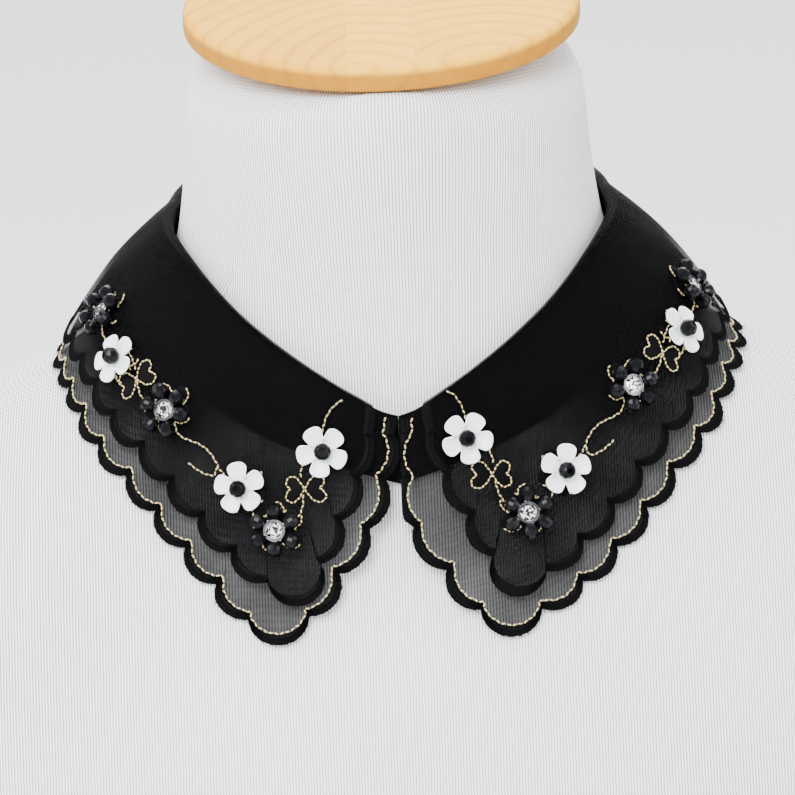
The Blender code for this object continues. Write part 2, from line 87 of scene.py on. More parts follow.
bpy.ops.object.select_all(action="DESELECT")
camera_data = bpy.data.cameras.new("camera")
camera_data.sensor_width = 36
camera_data.lens = camera_data.sensor_width * FOCAL_PIXELS / PHOTO_SIDE
camera = bpy.data.objects.new("camera", camera_data)
bpy.context.scene.collection.objects.link(camera)
tilt = Matrix.Rotation(math.pi / 2 - CAMERA_HEIGHT, 4, "X") @ Matrix.Rotation(CAMERA_TURN, 4, "Z")
back = Vector((0, -math.cos(CAMERA_HEIGHT), math.sin(CAMERA_HEIGHT)))
camera.matrix_world = Matrix.Translation(CAMERA_AIM + back * CAMERA_DISTANCE) @ tilt
bpy.context.scene.camera = camera

for name, (offset, side, power) in LAMPS.items():
    lamp_data = bpy.data.lights.new(name, "AREA")
    lamp_data.shape = "SQUARE"
    lamp_data.size = side
    lamp_data.energy = power
    lamp = bpy.data.objects.new(name, lamp_data)
    bpy.context.scene.collection.objects.link(lamp)
    lamp.location = PIT_OF_NECK + Vector(offset)
    lamp.rotation_euler = (-Vector(offset)).to_track_quat("-Z", "Y").to_euler()
world = bpy.data.worlds.new("studio")
bpy.context.scene.world = world
world.use_nodes = True
world.node_tree.nodes["Background"].inputs["Color"].default_value = (*WORLD_COLOUR, 1)
world.node_tree.nodes["Background"].inputs["Strength"].default_value = WORLD_STRENGTH


class Value:
    """A number that varies over a surface: sums on it add maths nodes."""

    def __init__(self, finish, socket):
        self.finish = finish
        self.socket = socket

    def made(self, operation, *values):
        return self.finish.node("ShaderNodeMath", {"operation": operation}, values)

    def __add__(self, other):
        return self.made("ADD", self, other)

    def __radd__(self, other):
        return self.made("ADD", other, self)

    def __sub__(self, other):
        return self.made("SUBTRACT", self, other)

    def __rsub__(self, other):
        return self.made("SUBTRACT", other, self)

    def __mul__(self, other):
        return self.made("MULTIPLY", self, other)

    def __rmul__(self, other):
        return self.made("MULTIPLY", other, self)

    def __truediv__(self, other):
        return self.made("DIVIDE", self, other)

    def __rtruediv__(self, other):
        return self.made("DIVIDE", other, self)

    def __pow__(self, other):
        return self.made("POWER", self, other)

    def sin(self):
        return self.made("SINE", self)

    def absolute(self):
        return self.made("ABSOLUTE", self)

    def kept(self, low, high):
        return self.made("MINIMUM", self.made("MAXIMUM", self, low), high)

    def ramp(self, low, high):
        """0 up to low, 1 from high on, and smooth between."""
        t = ((self - low) / (high - low)).kept(0, 1)
        return t * t * (3 - 2 * t)


class Finish:
    """One material, with a shader whose even values are set directly and the rest linked."""

    def __init__(self, name, **even):
        self.material = bpy.data.materials.new(name)
        self.material.use_nodes = True
        self.tree = self.material.node_tree
        self.shader = self.tree.nodes["Principled BSDF"]
        for label, value in even.items():
            self.shader.inputs[label.replace("_", " ")].default_value = value

    def node(self, kind, settings=None, values=(), output=0):
        """Any node: its settings first, then its sockets' values or links."""
        made = self.tree.nodes.new(kind)
        for label, value in (settings or {}).items():
            setattr(made, label, value)
        pairs = values.items() if isinstance(values, dict) else enumerate(values)
        for place, value in pairs:
            if isinstance(value, Value):
                self.tree.links.new(value.socket, made.inputs[place])
            else:
                made.inputs[place].default_value = value
        return Value(self, made.outputs[output])

    def place(self):
        """Sideways, depth and height of the surface, in metres."""
        here = self.node("ShaderNodeTexCoord", output="Object")
        parts = self.node("ShaderNodeSeparateXYZ", values=[here])
        return here, *(Value(self, parts.socket.node.outputs[axis]) for axis in "XYZ")

    def noise(self, where, scale, detail=2.0, rough=0.5):
        return self.node(
            "ShaderNodeTexNoise", values={"Vector": where, "Scale": scale, "Detail": detail, "Roughness": rough}
        )

    def mixed(self, share, first, second):
        """A colour between two colours."""
        made = self.node("ShaderNodeMix", {"data_type": "RGBA"}, {0: share, 6: first, 7: second}, output=2)
        return made

    def feed(self, label, value):
        self.tree.links.new(value.socket, self.shader.inputs[label])

    def bump(self, height, distance, strength=1.0):
        raised = self.node("ShaderNodeBump", values={"Height": height, "Distance": distance, "Strength": strength})
        self.feed("Normal", raised)


floor_half = FLOOR_SIDE / 2
bpy.ops.mesh.primitive_plane_add(size=FLOOR_SIDE, location=(0, floor_half / 2, cad_box[0][2] - 0.2 * MM))
floor = bpy.context.object
floor.name = "floor"
floor_finish = Finish("pale_floor", Roughness=0.9)
where, *_ = floor_finish.place()
cloud = floor_finish.noise(where, 3.0)
floor_finish.feed("Base Color", floor_finish.mixed(cloud, (*FLOOR_COLOUR, 1), (0.72, 0.72, 0.72, 1)))
floor.data.materials.append(floor_finish.material)


# The dress form: neck and shoulders of a limbless form, covered with one layer of fine white rib
# jersey that is pulled smooth, its ribs running down, and turned under at the flat foot.
JERSEY_LIGHT = (0.90, 0.905, 0.915)
JERSEY_SHADE = (0.045, 0.046, 0.048)
RIB_PITCH = 0.78 * MM
STITCH_PITCH = 0.62 * MM
RIB_DEPTH = 0.16 * MM
NECK_RADIUS = 58 * MM
NECK_FROM = PIT_OF_NECK.z + 22 * MM
NECK_TO = PIT_OF_NECK.z + 60 * MM
FOOT_ROUND = 3.0 * MM
ARM_FACES = 0.72
SHARP_RIM = math.radians(50)


def merged_copy(node, name):
    """A new piece with a copy of a CAD node's mesh, its loose triangles joined and made quads."""
    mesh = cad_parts[node].data.copy()
    mesh.materials.clear()
    piece = bpy.data.objects.new(name, mesh)
    bpy.context.scene.collection.objects.link(piece)
    bpy.ops.object.select_all(action="DESELECT")
    bpy.context.view_layer.objects.active = piece
    piece.select_set(True)
    bpy.ops.object.mode_set(mode="EDIT")
    bpy.ops.mesh.select_all(action="SELECT")
    bpy.ops.mesh.remove_doubles(threshold=0.01 * MM)
    bpy.ops.mesh.tris_convert_to_quads(face_threshold=SHARP_RIM, shape_threshold=math.pi)
    bpy.ops.object.mode_set(mode="OBJECT")
    return piece


def edges_where(piece, wanted):
    """Leaves edit mode with just the edges selected whose two ends are wanted."""
    bpy.ops.object.mode_set(mode="EDIT")
    bpy.ops.mesh.select_mode(type="EDGE")
    bpy.ops.mesh.select_all(action="DESELECT")
    bpy.ops.object.mode_set(mode="OBJECT")
    for edge in piece.data.edges:
        ends = [piece.data.vertices[k].co for k in edge.vertices]
        edge.select = all(wanted(end) for end in ends)
    bpy.ops.object.mode_set(mode="EDIT")


def finished(piece, finish, *modifiers, smooth=None):
    """Applies modifiers given as (kind, settings), and the finish and the shading."""
    for kind, settings in modifiers:
        made = piece.modifiers.new(kind.title(), kind)
        for label, value in settings.items():
            setattr(made, label, value)
        bpy.ops.object.select_all(action="DESELECT")
        bpy.context.view_layer.objects.active = piece
        piece.select_set(True)
        bpy.ops.object.modifier_apply(modifier=made.name)
    piece.data.materials.clear()
    piece.data.materials.append(finish.material)
    bpy.ops.object.select_all(action="DESELECT")
    bpy.context.view_layer.objects.active = piece
    piece.select_set(True)
    if smooth is not None:
        bpy.ops.object.shade_smooth_by_angle(angle=smooth)
    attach(piece, "root")
    return piece


jersey = Finish("rib_jersey", Roughness=0.95, Sheen_Weight=0.25, Sheen_Roughness=0.6)
where, across, deep, high = jersey.place()
round_neck = across.made("ARCTAN2", across, PIT_OF_NECK.y - deep) * NECK_RADIUS
sideways = jersey.node("ShaderNodeAttribute", {"attribute_name": "sideways"}, output=2)
at_arm = sideways.made("GREATER_THAN", sideways, ARM_FACES)
below_neck = across + (deep - across) * at_arm
ribs_run = below_neck + (round_neck - below_neck) * high.ramp(NECK_FROM, NECK_TO)
wobble = (jersey.noise(where, 26.0) - 0.5) * (1.2 * RIB_PITCH)
wale = ((ribs_run + wobble) * (math.pi / RIB_PITCH)).sin().absolute()
course = (high * (2 * math.pi / STITCH_PITCH)).sin() * 0.5 + 0.5
# Painted shade: the grooves between the ribs are darkened in the colour towards JERSEY_SHADE, more on the rows of
# stitches and in patches.
groove_shade = (1 - wale) * (0.5 + 0.5 * course)
patchy = jersey.noise(where, 9.0)
shade = (groove_shade * (0.65 + 0.9 * patchy)).kept(0, 1)
jersey.feed("Base Color", jersey.mixed(shade, (*JERSEY_LIGHT, 1), (*JERSEY_SHADE, 1)))
jersey.bump(wale + 0.25 * course, RIB_DEPTH, 0.55)

form = merged_copy("form", "jersey_form")
foot_height = foot[2]
edges_where(form, lambda point: point.z < foot_height + 0.1 * MM)
bpy.ops.mesh.bevel(offset=FOOT_ROUND, segments=3)
bpy.ops.object.mode_set(mode="OBJECT")
finished(form, jersey, ("SUBSURF", {"levels": 2, "render_levels": 2}), smooth=SHARP_RIM)
normals = np.zeros(3 * len(form.data.vertices))
form.data.vertex_normals.foreach_get("vector", normals)
facing = form.data.attributes.new("sideways", "FLOAT", "POINT")
facing.data.foreach_set("value", np.abs(normals[::3]))
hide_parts("form")


# The cap: a disc turned from three glued strips of maple, with a rounded upper edge and a clear
# lacquer, which sits square on the slanting top of the neck.
CAP_RADIUS = 52.8 * MM
CAP_THICKNESS = 6.4 * MM
CAP_TOP = PIT_OF_NECK + Vector((0, -15.0, 120.2)) * MM
CAP_LEAN = math.atan(0.2)
CAP_ROUND = 2.2 * MM
CAP_FOOT_BEVEL = 0.9 * MM
STRIP_JOINTS = (-9.5 * MM, 8.0 * MM)
RING_PITCH = 6.4 * MM
MAPLE_LIGHT = (0.88, 0.46, 0.03)
MAPLE_DARK = (0.55, 0.23, 0.012)
MAPLE_EDGE = (0.31, 0.115, 0.006)

bpy.ops.object.select_all(action="DESELECT")
bpy.ops.mesh.primitive_cylinder_add(vertices=128, radius=CAP_RADIUS, depth=CAP_THICKNESS, location=(0, 0, 0))
cap = bpy.context.object
cap.name = "maple_cap"
half_cap = CAP_THICKNESS / 2
edges_where(cap, lambda point: point.z > half_cap - 0.1 * MM)
bpy.ops.mesh.bevel(offset=CAP_ROUND, segments=7)
edges_where(cap, lambda point: point.z < -half_cap + 0.1 * MM)
bpy.ops.mesh.bevel(offset=CAP_FOOT_BEVEL, segments=3)
bpy.ops.mesh.select_all(action="SELECT")
bpy.ops.transform.translate(value=(0, 0, -half_cap))
bpy.ops.transform.rotate(value=-CAP_LEAN, orient_axis="X", center_override=(0, 0, 0))
bpy.ops.transform.translate(value=CAP_TOP)
bpy.ops.object.mode_set(mode="OBJECT")

maple = Finish("lacquered_maple", Roughness=0.5, Specular_IOR_Level=0.04, Coat_Weight=0.02, Coat_Roughness=0.2)
where, across, deep, high = maple.place()
second = (across - STRIP_JOINTS[0]).made("GREATER_THAN", across, STRIP_JOINTS[0])
third = second.made("GREATER_THAN", across, STRIP_JOINTS[1])
grain = maple.noise(where, 30.0, 3.0)
fine = maple.noise(where, 420.0, 3.0)
off_pith = across - 0.012 + second * 0.02 - third * 0.034
in_front = deep - (CAP_TOP.y - 0.052) + second * 0.006 - third * 0.009
reach = (off_pith * off_pith + in_front * in_front + (high - CAP_TOP.z) ** 2.0) ** 0.5
rings = ((reach + (grain - 0.5) * 0.006) * (2 * math.pi / RING_PITCH)).sin() * 0.5 + 0.5
late = rings ** 5.0
tone = (late * 0.35 + (fine - 0.5) * 0.35 + (grain - 0.4) * 0.7 + 0.26 - second * 0.22 + third * 0.1).kept(0, 1)
top_face = maple.mixed(tone, (*MAPLE_LIGHT, 1), (*MAPLE_DARK, 1))
under_rim = high + (deep - CAP_TOP.y) * (-math.tan(CAP_LEAN)) - CAP_TOP.z
edge_share = (1 - under_rim.ramp(-0.0026, -0.0006)) * 0.78
maple.feed("Base Color", maple.mixed(edge_share, top_face, (*MAPLE_EDGE, 1)))
maple.bump(fine, 0.05 * MM, 0.3)
finished(cap, maple, smooth=math.radians(35))
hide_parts("neck_cap")


# The stand: a band of doubled black organza that holds the collar up round the neck, folded along
# its top and open at the middle front. Its own surface and the form's are kept as tables here.
STAND_CLOTH = 0.6
STAND_OFF_NECK = 0.5
STAND_WALL = 1.0
HALF_STAND_OPENING = 0.05
FOLD_HALF_WIDTH = 60.0
FOLD_HALF_DEPTH = 60.0
FOLD_CENTRE_Y = -6.0
FOLD_SQUEEZE = 3.4
SQUEEZE_FROM = 76.0
SQUEEZE_TO = 110.0
STAND_ROWS = 8


class Table:
    """Rows of numbers under named columns, read smoothly between the rows."""

    def __init__(self, names, rows):
        self.columns = dict(zip(names.split(), np.array(rows, float).T))

    def at(self, key, name, place):
        keys = self.columns[key]
        values = self.columns[name]
        slopes = np.gradient(values, keys)
        place = np.clip(np.asarray(place, float), keys[0], keys[-1])
        row = np.clip(np.searchsorted(keys, place, side="right") - 1, 0, len(keys) - 2)
        span = keys[row + 1] - keys[row]
        t = (place - keys[row]) / span
        start = (2 * t**3 - 3 * t**2 + 1) * values[row] + (t**3 - 2 * t**2 + t) * span * slopes[row]
        end = (3 * t**2 - 2 * t**3) * values[row + 1] + (t**3 - t**2) * span * slopes[row + 1]
        return start + end

    def rows(self):
        return [dict(zip(self.columns, row)) for row in zip(*self.columns.values())]


# Level sections of the form, in millimetres from the pit of the neck
FORM = Table(
    "height half_width front back squareness",
    [
        (-190, 148, -103, 84, 2.4),
        (-145, 159, -114, 92, 2.4),
        (-100, 170, -109, 97, 2.4),
        (-60, 178, -92, 98, 2.35),
        (-35, 177, -80, 97, 2.3),
        (-20, 169, -73, 95, 2.2),
        (-8, 155, -68.5, 92, 2.15),
        (4, 132.5, -65, 87, 2.1),
        (16, 106, -62.5, 80, 2.05),
        (24, 89.5, -61.5, 75, 2),
        (31, 77, -61, 70, 2),
        (38, 67, -61, 66, 2),
        (46, 61.5, -61.5, 62, 2),
        (58, 57.5, -62.5, 55.5, 2),
        (75, 55, -65, 49, 2),
        (95, 53.4, -67.5, 42.5, 2),
        (113.5, 52.2, -68, 38, 2),
    ],
)
# The fold over the stand, by the angle round the neck from the front
FOLD = Table(
    "angle height outer_angle",
    [
        (0, 18.5, 0),
        (4, 19.8, 12),
        (10, 23.4, 25),
        (20, 29.6, 37),
        (40, 42, 53),
        (60, 53.8, 70),
        (90, 62, 97),
        (120, 67, 125),
        (150, 71, 153),
        (180, 73, 180),
    ],
)
STAND_FOOT = Table(
    "angle height",
    [(0, 0.5), (10, 4), (21, 8.5), (30, 13), (45, 22), (60, 30), (90, 37), (135, 48), (180, 54)],
)


def form_level(points):
    """1 on the form's surface, less inside and more outside."""
    x, y, z = np.moveaxis(points, -1, 0)
    width = FORM.at("height", "half_width", z)
    front = FORM.at("height", "front", z)
    back = FORM.at("height", "back", z)
    power = FORM.at("height", "squareness", z)
    across = np.abs(x / width) ** power
    deep = np.abs((y - (front + back) / 2) / ((back - front) / 2)) ** power
    return (across + deep) ** (1 / power)


def off_form(points, step=0.5):
    """Distance from the form, and the direction straight out of it."""
    ahead = np.stack([form_level(points + step * axis) for axis in np.eye(3)], axis=-1)
    behind = np.stack([form_level(points - step * axis) for axis in np.eye(3)], axis=-1)
    slope = (ahead - behind) / (2 * step)
    steepness = np.maximum(np.linalg.norm(slope, axis=-1), 1e-6)
    return (form_level(points) - 1) / steepness, slope / steepness[..., None]


def kept_clear(points, least):
    """The points, with those nearer the form than least moved straight out."""
    for _ in range(4):
        distance, outward = off_form(points)
        points = points + outward * np.maximum(least - distance, 0)[..., None]
    return points


def on_form(angle, height, distance, start=85.0, longest_step=12.0, least_slope=0.25):
    """The point at an angle and a height that lies a distance off the form."""
    heading = np.stack([np.sin(np.radians(angle)), -np.cos(np.radians(angle)), 0 * angle], axis=-1)
    reach = np.full(np.shape(angle), start)
    for _ in range(25):
        point = heading * reach[..., None] + np.stack([0 * height, 0 * height, height], axis=-1)
        gap, outward = off_form(point)
        along = np.maximum((outward * heading).sum(axis=-1), least_slope)
        reach = reach + np.clip((distance - gap) / along, -longest_step, longest_step)
    return point


def fold_point(angle, outward=0.0):
    """A point on the fold, which draws in behind the sides of the neck."""
    turn = np.radians(angle)
    behind = np.clip((angle - SQUEEZE_FROM) / (SQUEEZE_TO - SQUEEZE_FROM), 0, 1)
    squeeze = FOLD_SQUEEZE * behind**2 * (3 - 2 * behind)
    x = (FOLD_HALF_WIDTH - squeeze + outward) * np.sin(turn)
    y = FOLD_CENTRE_Y - (FOLD_HALF_DEPTH + outward) * np.cos(turn)
    return np.stack([x, y, FOLD.at("angle", "height", angle)], axis=-1)


def mesh_piece(name, points, faces, flat=None):
    """A piece from points in millimetres about the pit of the neck, and their flat places."""
    mesh = bpy.data.meshes.new(name)
    placed = np.asarray(points) * MM + PIT_OF_NECK
    mesh.from_pydata(placed.tolist(), [], np.asarray(faces).tolist())
    if flat is not None:
        corners = np.zeros(len(mesh.loops), dtype=np.int32)
        mesh.loops.foreach_get("vertex_index", corners)
        mesh.uv_layers.new(name="flat").data.foreach_set("uv", np.asarray(flat)[corners].ravel())
    piece = bpy.data.objects.new(name, mesh)
    bpy.context.scene.collection.objects.link(piece)
    return piece


def grid_faces(rows, columns):
    """Four-cornered faces between the points of a grid, numbered row by row."""
    corner = np.arange((rows - 1) * columns).reshape(rows - 1, columns)[:, :-1].ravel()
    return np.stack([corner, corner + columns, corner + columns + 1, corner + 1], axis=1)


doubled = Finish("doubled_organza", Roughness=0.6, Specular_IOR_Level=0.04, Base_Color=(0.0012, 0.0012, 0.0015, 1))
where, across, deep, high = doubled.place()
doubled.bump(doubled.noise(where, 300.0), 0.05 * MM, 0.2)
angles = np.concatenate([[HALF_STAND_OPENING], np.arange(2, 359, 2), [360 - HALF_STAND_OPENING]])
mirror = np.where(angles > 180, -1.0, 1.0)[:, None] * (1, 0, 0) + np.array([0, 1, 1])
turned = np.where(angles > 180, 360 - angles, angles)
stand_foot = on_form(turned, STAND_FOOT.at("angle", "height", turned), STAND_OFF_NECK + STAND_WALL / 2)
stand_top = fold_point(turned)
stand_rows = []
for share in np.linspace(0, 1, STAND_ROWS):
    middle = kept_clear(stand_top + (stand_foot - stand_top) * share, STAND_OFF_NECK + STAND_WALL / 2)
    stand_rows.append(middle * mirror)
stand_grid = np.array(stand_rows)
stand = mesh_piece("organza_stand", stand_grid.reshape(-1, 3), grid_faces(*stand_grid.shape[:2])[:, ::-1])
finished(
    stand, doubled, ("SOLIDIFY", {"thickness": STAND_CLOTH * MM, "offset": 0.0}), smooth=math.radians(50)
)
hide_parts("neck_stand")


# The lower fall: a wide collar leaf of one layer of stiff black organza, cut with a scalloped edge
# and pointed fronts, sewn into the fold and lying on the shoulders. It shows the form through.
CLOTH_WALL = 0.25
FALL_WALL = 1.0
SEAM_GAP = 0.3
HALVES_APART = 0.14
FALL_OVER_STAND = 2.8
FALL_AT_EDGE = 1.3
FALL_EASES_FROM = 0.5
FALL_EASES_TO = 0.85
FALL_BULGE = 2.9
FALL_BULGE_RISE = 0.6
FALLS_APART = 0.55
FALLS_APART_FROM = 0.2
UPPER_INSET = 8.2
POINT_SWING = {"lower": 3.0, "upper": -0.6}
SWING_DEPTH = 26.0
SIDE_SLIP = 1.3
SLIP_END = 150.0
SLIP_FADE = 60.0
SCALLOP_DEPTH = 3.3
SCALLOPS_ROUND_SIDE = 19
INSET_REACHED_IN = 6.0
FOLD_LEAD = 17.0
LEAD_FADE = 9
BORDER_WIDTH = 2.7
COLUMNS_PER_SCALLOP = 10
ROWS_TO_BORDER = 22
MM_PER_DEGREE = 1.25
FALL_WIDTH = 53.0
ORGANZA_COLOUR = (0.0014, 0.0014, 0.0018, 1)
ORGANZA_COVER = 0.50
THREAD_PITCH = 0.24
SIDE_FROM = 0.036
SIDE_TO = 0.072
DENSE_DOWN = (22.0, 40.0)

# The line through the notches of the lower fall, by the angle round the form's upright axis
OUTER_LINE = Table(
    "angle height",
    [
        (0, -41),
        (14, -39.5),
        (21, -36),
        (27, -31),
        (33, -24),
        (39, -16.3),
        (45, -7.6),
        (51, 0.8),
        (58, 8.4),
        (66, 15.8),
        (76, 21),
        (88, 23.8),
        (104, 26.5),
        (125, 29.5),
        (150, 32),
        (180, 33),
    ],
)
# Notches of each fall's front edge, from the fold to the point, and the scallop below each
FRONT_EDGES = {
    "lower": Table(
        "out height depth",
        [
            (0.5, 18.6, 0.2),
            (1.0, 14.4, 2.4),
            (2.3, 3.4, 2.8),
            (5.8, -9.0, 3.0),
            (13.9, -20, 3.3),
            (22.2, -30.4, 6.6),
            (38.2, -31.2, 3.3),
        ],
    ),
    "upper": Table(
        "out height depth",
        [
            (6.4, 21.4, 0.4),
            (7.0, 14.5, 1.8),
            (10.9, 4.5, 2.6),
            (16.4, -6.3, 3.0),
            (22.3, -17, 8.2),
            (36.3, -21.6, 3.3),
        ],
    ),
}
# Soft ridges and troughs of the worn cloth: where on the fall, which way they run from level,
# how far each way, and how high in millimetres; they lie alike on both sides, but for a little
CREASES = Table(
    "angle share turn length width height",
    [
        (14, 0.35, 35, 16, 4.0, 0.30),
        (24, 0.72, 60, 13, 4.5, -0.35),
        (31, 0.30, 50, 18, 4.5, 0.35),
        (44, 0.66, 70, 15, 5.0, 0.45),
        (52, 0.28, 62, 17, 3.6, 0.55),
        (60, 0.80, 80, 10, 4.0, -0.40),
        (66, 0.45, 75, 16, 4.5, 0.50),
        (79, 0.70, 85, 13, 5.0, 0.55),
        (86, 0.30, 80, 14, 4.2, -0.40),
        (98, 0.60, 95, 15, 5.5, 0.50),
        (113, 0.35, 88, 14, 5.0, 0.45),
        (127, 0.70, 100, 13, 5.5, -0.45),
        (143, 0.45, 85, 16, 5.0, 0.50),
        (160, 0.72, 92, 13, 5.5, 0.45),
        (172, 0.32, 86, 15, 5.0, -0.35),
    ],
)


def creased(angles, shares, side):
    """How far the creases lift the cloth, fading out at the fold and the border."""
    lift = 0 * angles
    for number, crease in enumerate(CREASES.rows()):
        shift = side * 2.2 * math.sin(3.1 * number)
        along = (angles - crease["angle"] - shift) * MM_PER_DEGREE
        down = (shares - crease["share"]) * FALL_WIDTH
        turn = math.radians(crease["turn"])
        lengthwise = along * math.cos(turn) + down * math.sin(turn)
        sideways = down * math.cos(turn) - along * math.sin(turn)
        spread = (lengthwise / crease["length"]) ** 2 + (sideways / crease["width"]) ** 2
        lift = lift + crease["height"] * np.exp(-spread)
    return lift * np.clip(shares / 0.12, 0, 1) * np.clip((1.12 - shares) / 0.25, 0, 1)


def lower_middle(angle, share):
    """Middle of the lower fall's cloth."""
    top = fold_point(angle, STAND_WALL / 2 + SEAM_GAP + FALL_WALL / 2)
    outer_angle = FOLD.at("angle", "outer_angle", angle)
    edge = on_form(outer_angle, OUTER_LINE.at("angle", "height", outer_angle), FALL_AT_EDGE)
    straight = top + (edge - top) * share[..., None]
    turn = np.radians(angle)
    heading = np.stack([np.sin(turn), -np.cos(turn), FALL_BULGE_RISE + 0 * turn], axis=-1)
    side = np.sin(np.radians(np.clip(angle, 0, 90))) ** 2
    crown = FALL_BULGE * side * np.sin(math.pi * np.clip(share, 0, 1))
    over_stand = np.clip((FALL_EASES_TO - share) / (FALL_EASES_TO - FALL_EASES_FROM), 0, 1)
    least = FALL_AT_EDGE + (FALL_OVER_STAND - FALL_AT_EDGE) * over_stand
    return kept_clear(straight + heading * crown[..., None], least)


class Sheet:
    """The middle of the cloth, worked out on a grid of angles and shares and read between."""

    ANGLES = np.linspace(-8, 188, 393)
    SHARES = np.linspace(0, 1.16, 88)
    FRONT = 47.5

    def __init__(self, points):
        self.points = points
        by_angle = np.gradient(points, self.ANGLES, axis=0)
        by_share = np.gradient(points, self.SHARES, axis=1)
        outward = np.cross(by_share, by_angle)
        outward /= np.linalg.norm(outward, axis=-1)[..., None]
        self.grids = np.stack([points, by_angle, by_share, outward])

    def read(self, angle, share):
        """Point, slope along the fold, slope down the fall and outward direction."""
        across = (np.asarray(angle, float) - self.ANGLES[0]) / (self.ANGLES[1] - self.ANGLES[0])
        across = np.clip(across, 0, len(self.ANGLES) - 1.001)
        down = np.asarray(share, float) / (self.SHARES[1] - self.SHARES[0])
        down = np.clip(down, 0, len(self.SHARES) - 1.001)
        i = across.astype(int)
        j = down.astype(int)
        p = (across - i)[..., None]
        q = (down - j)[..., None]
        grids = self.grids
        near = grids[:, i, j] * (1 - q) + grids[:, i, j + 1] * q
        far = grids[:, i + 1, j] * (1 - q) + grids[:, i + 1, j + 1] * q
        return near * (1 - p) + far * p

    def at(self, angle, share):
        return self.read(angle, share)[0]

    def moved_out(self, lift):
        """The sheet that lies on this one, by a distance for each share."""
        return Sheet(self.points + self.grids[3] * lift[..., None])

    def found(self, out, height):
        """The angle and share of the point this far out from the middle and this high."""
        in_front = np.flatnonzero(np.abs(self.ANGLES - self.FRONT) <= self.FRONT)
        front = self.points[in_front]
        near = np.argmin(np.hypot(front[..., 0] - out, front[..., 2] - height))
        angle = self.ANGLES[in_front[near // len(self.SHARES)]]
        share = self.SHARES[near % len(self.SHARES)]
        for _ in range(8):
            here, by_angle, by_share, _ = self.read(angle, share)
            turn = np.array([[by_angle[0], by_share[0]], [by_angle[2], by_share[2]]])
            step = np.linalg.solve(turn, [out - here[0], height - here[2]])
            angle += np.clip(step[0], -3, 3)
            share += np.clip(step[1], -0.05, 0.05)
        return angle, share


def notches(layer, sheet, side):
    """(angle, share, depth) at each notch of one half, from the fold round to the middle back."""
    front = []
    for row in FRONT_EDGES[layer].rows():
        low = (FOLD.columns["height"][0] - row["height"]) / SWING_DEPTH
        out = row["out"] - side * POINT_SWING[layer] * min(max(low, 0), 1)
        front.append((*sheet.found(out, row["height"]), row["depth"]))
    start_angle, start_share, _ = front[-1]
    angles = np.linspace(start_angle, 180, 400)
    inset = 0.0 if layer == "lower" else UPPER_INSET
    inset = inset - side * SIDE_SLIP * np.clip((SLIP_END - angles) / SLIP_FADE, 0, 1)
    width = np.linalg.norm(sheet.at(angles, 1 + 0 * angles) - sheet.at(angles, 0 * angles), axis=1)
    settle = np.exp(-(angles - start_angle) / INSET_REACHED_IN)
    shares = (1 - inset / width) * (1 - settle) + start_share * settle
    line = sheet.at(angles, shares)
    run = np.concatenate([[0], np.cumsum(np.linalg.norm(np.diff(line, axis=0), axis=1))])
    stops = np.linspace(0, run[-1], SCALLOPS_ROUND_SIDE + 1)[1:]
    round_side = zip(np.interp(stops, run, angles), np.interp(stops, run, shares))
    return front + [(angle, share, SCALLOP_DEPTH) for angle, share in round_side]


def met_at_notches(sheet, marks, found, edgeward):
    """Ends the moved arcs where each one meets the next, on the line that halves their angle."""
    points, by_angle, by_share, face = sheet.read(found[..., 0], found[..., 1])
    half = found.shape[1] // 2
    for number in range(len(found) - 1):
        notch = sheet.at(*marks[number + 1][:2])
        inward = -(edgeward[number, -1] + edgeward[number + 1, 0])
        inward /= np.linalg.norm(inward)
        ahead = np.cross(inward, face[number, -1])
        ahead *= np.sign(ahead @ (points[number + 1, half] - points[number, half]))
        ends = []
        for scallop, order in ((number, slice(half, None)), (number + 1, slice(half, None, -1))):
            sign = 1 if scallop == number else -1
            past = sign * ((points[scallop] - notch) @ ahead)[order]
            depth = ((points[scallop] - notch) @ inward)[order]
            first = int(np.argmax(past > 0)) if (past > 0).any() else len(past) - 1
            before = max(first - 1, 0)
            share = np.clip(-past[before] / max(past[first] - past[before], 1e-6), 0, 1)
            ends.append((scallop, order, first, depth[before] + (depth[first] - depth[before]) * share))
        meeting = notch + inward * (ends[0][3] + ends[1][3]) / 2
        for scallop, order, first, _ in ends:
            numbers = np.arange(found.shape[1])[order][first:]
            for k in numbers:
                slopes = np.stack([by_angle[scallop, k], by_share[scallop, k]], axis=1)
                found[scallop, k] += np.linalg.lstsq(slopes, meeting - points[scallop, k], rcond=None)[0]


def outline(sheet, marks, inward, steps):
    """Angles and shares along one half's scalloped edge, moved inward, steps to a scallop."""
    start = np.array(marks[:-1])[:, None, :]
    end = np.array(marks[1:])[:, None, :]
    ends = [sheet.at(mark[..., 0], mark[..., 1]) for mark in (start, end)]
    chord = np.linalg.norm(ends[1] - ends[0], axis=-1)
    depth = start[..., 2]
    radius = (chord**2 / 4 + depth**2) / (2 * depth)
    half_turn = np.arctan2(chord / 2, radius - depth)
    turns = half_turn * np.linspace(-1, 1, steps + 1)
    along = 0.5 + radius * np.sin(turns) / chord
    rise = radius * np.cos(turns) + depth - radius - inward
    angle = start[..., 0] + (end[..., 0] - start[..., 0]) * along
    share = start[..., 1] + (end[..., 1] - start[..., 1]) * along
    _, by_angle, by_share, face = sheet.read(angle, share)
    heading = (end[..., 0] - start[..., 0])[..., None] * by_angle
    heading = heading + (end[..., 1] - start[..., 1])[..., None] * by_share
    edgeward = np.cross(face, heading)
    edgeward /= np.linalg.norm(edgeward, axis=-1)[..., None]
    slopes = np.stack([by_angle, by_share], axis=-1)
    move = np.einsum("...ij,...j->...i", np.linalg.pinv(slopes), -edgeward * rise[..., None])
    found = np.stack([angle + move[..., 0], np.maximum(share + move[..., 1], 0)], axis=-1)
    met_at_notches(sheet, marks, found, edgeward)
    line = np.concatenate([found[:, :-1].reshape(-1, 2), found[-1:, -1]])
    line[0] = marks[0][:2]
    line[-1, 0] = 180.0
    return line


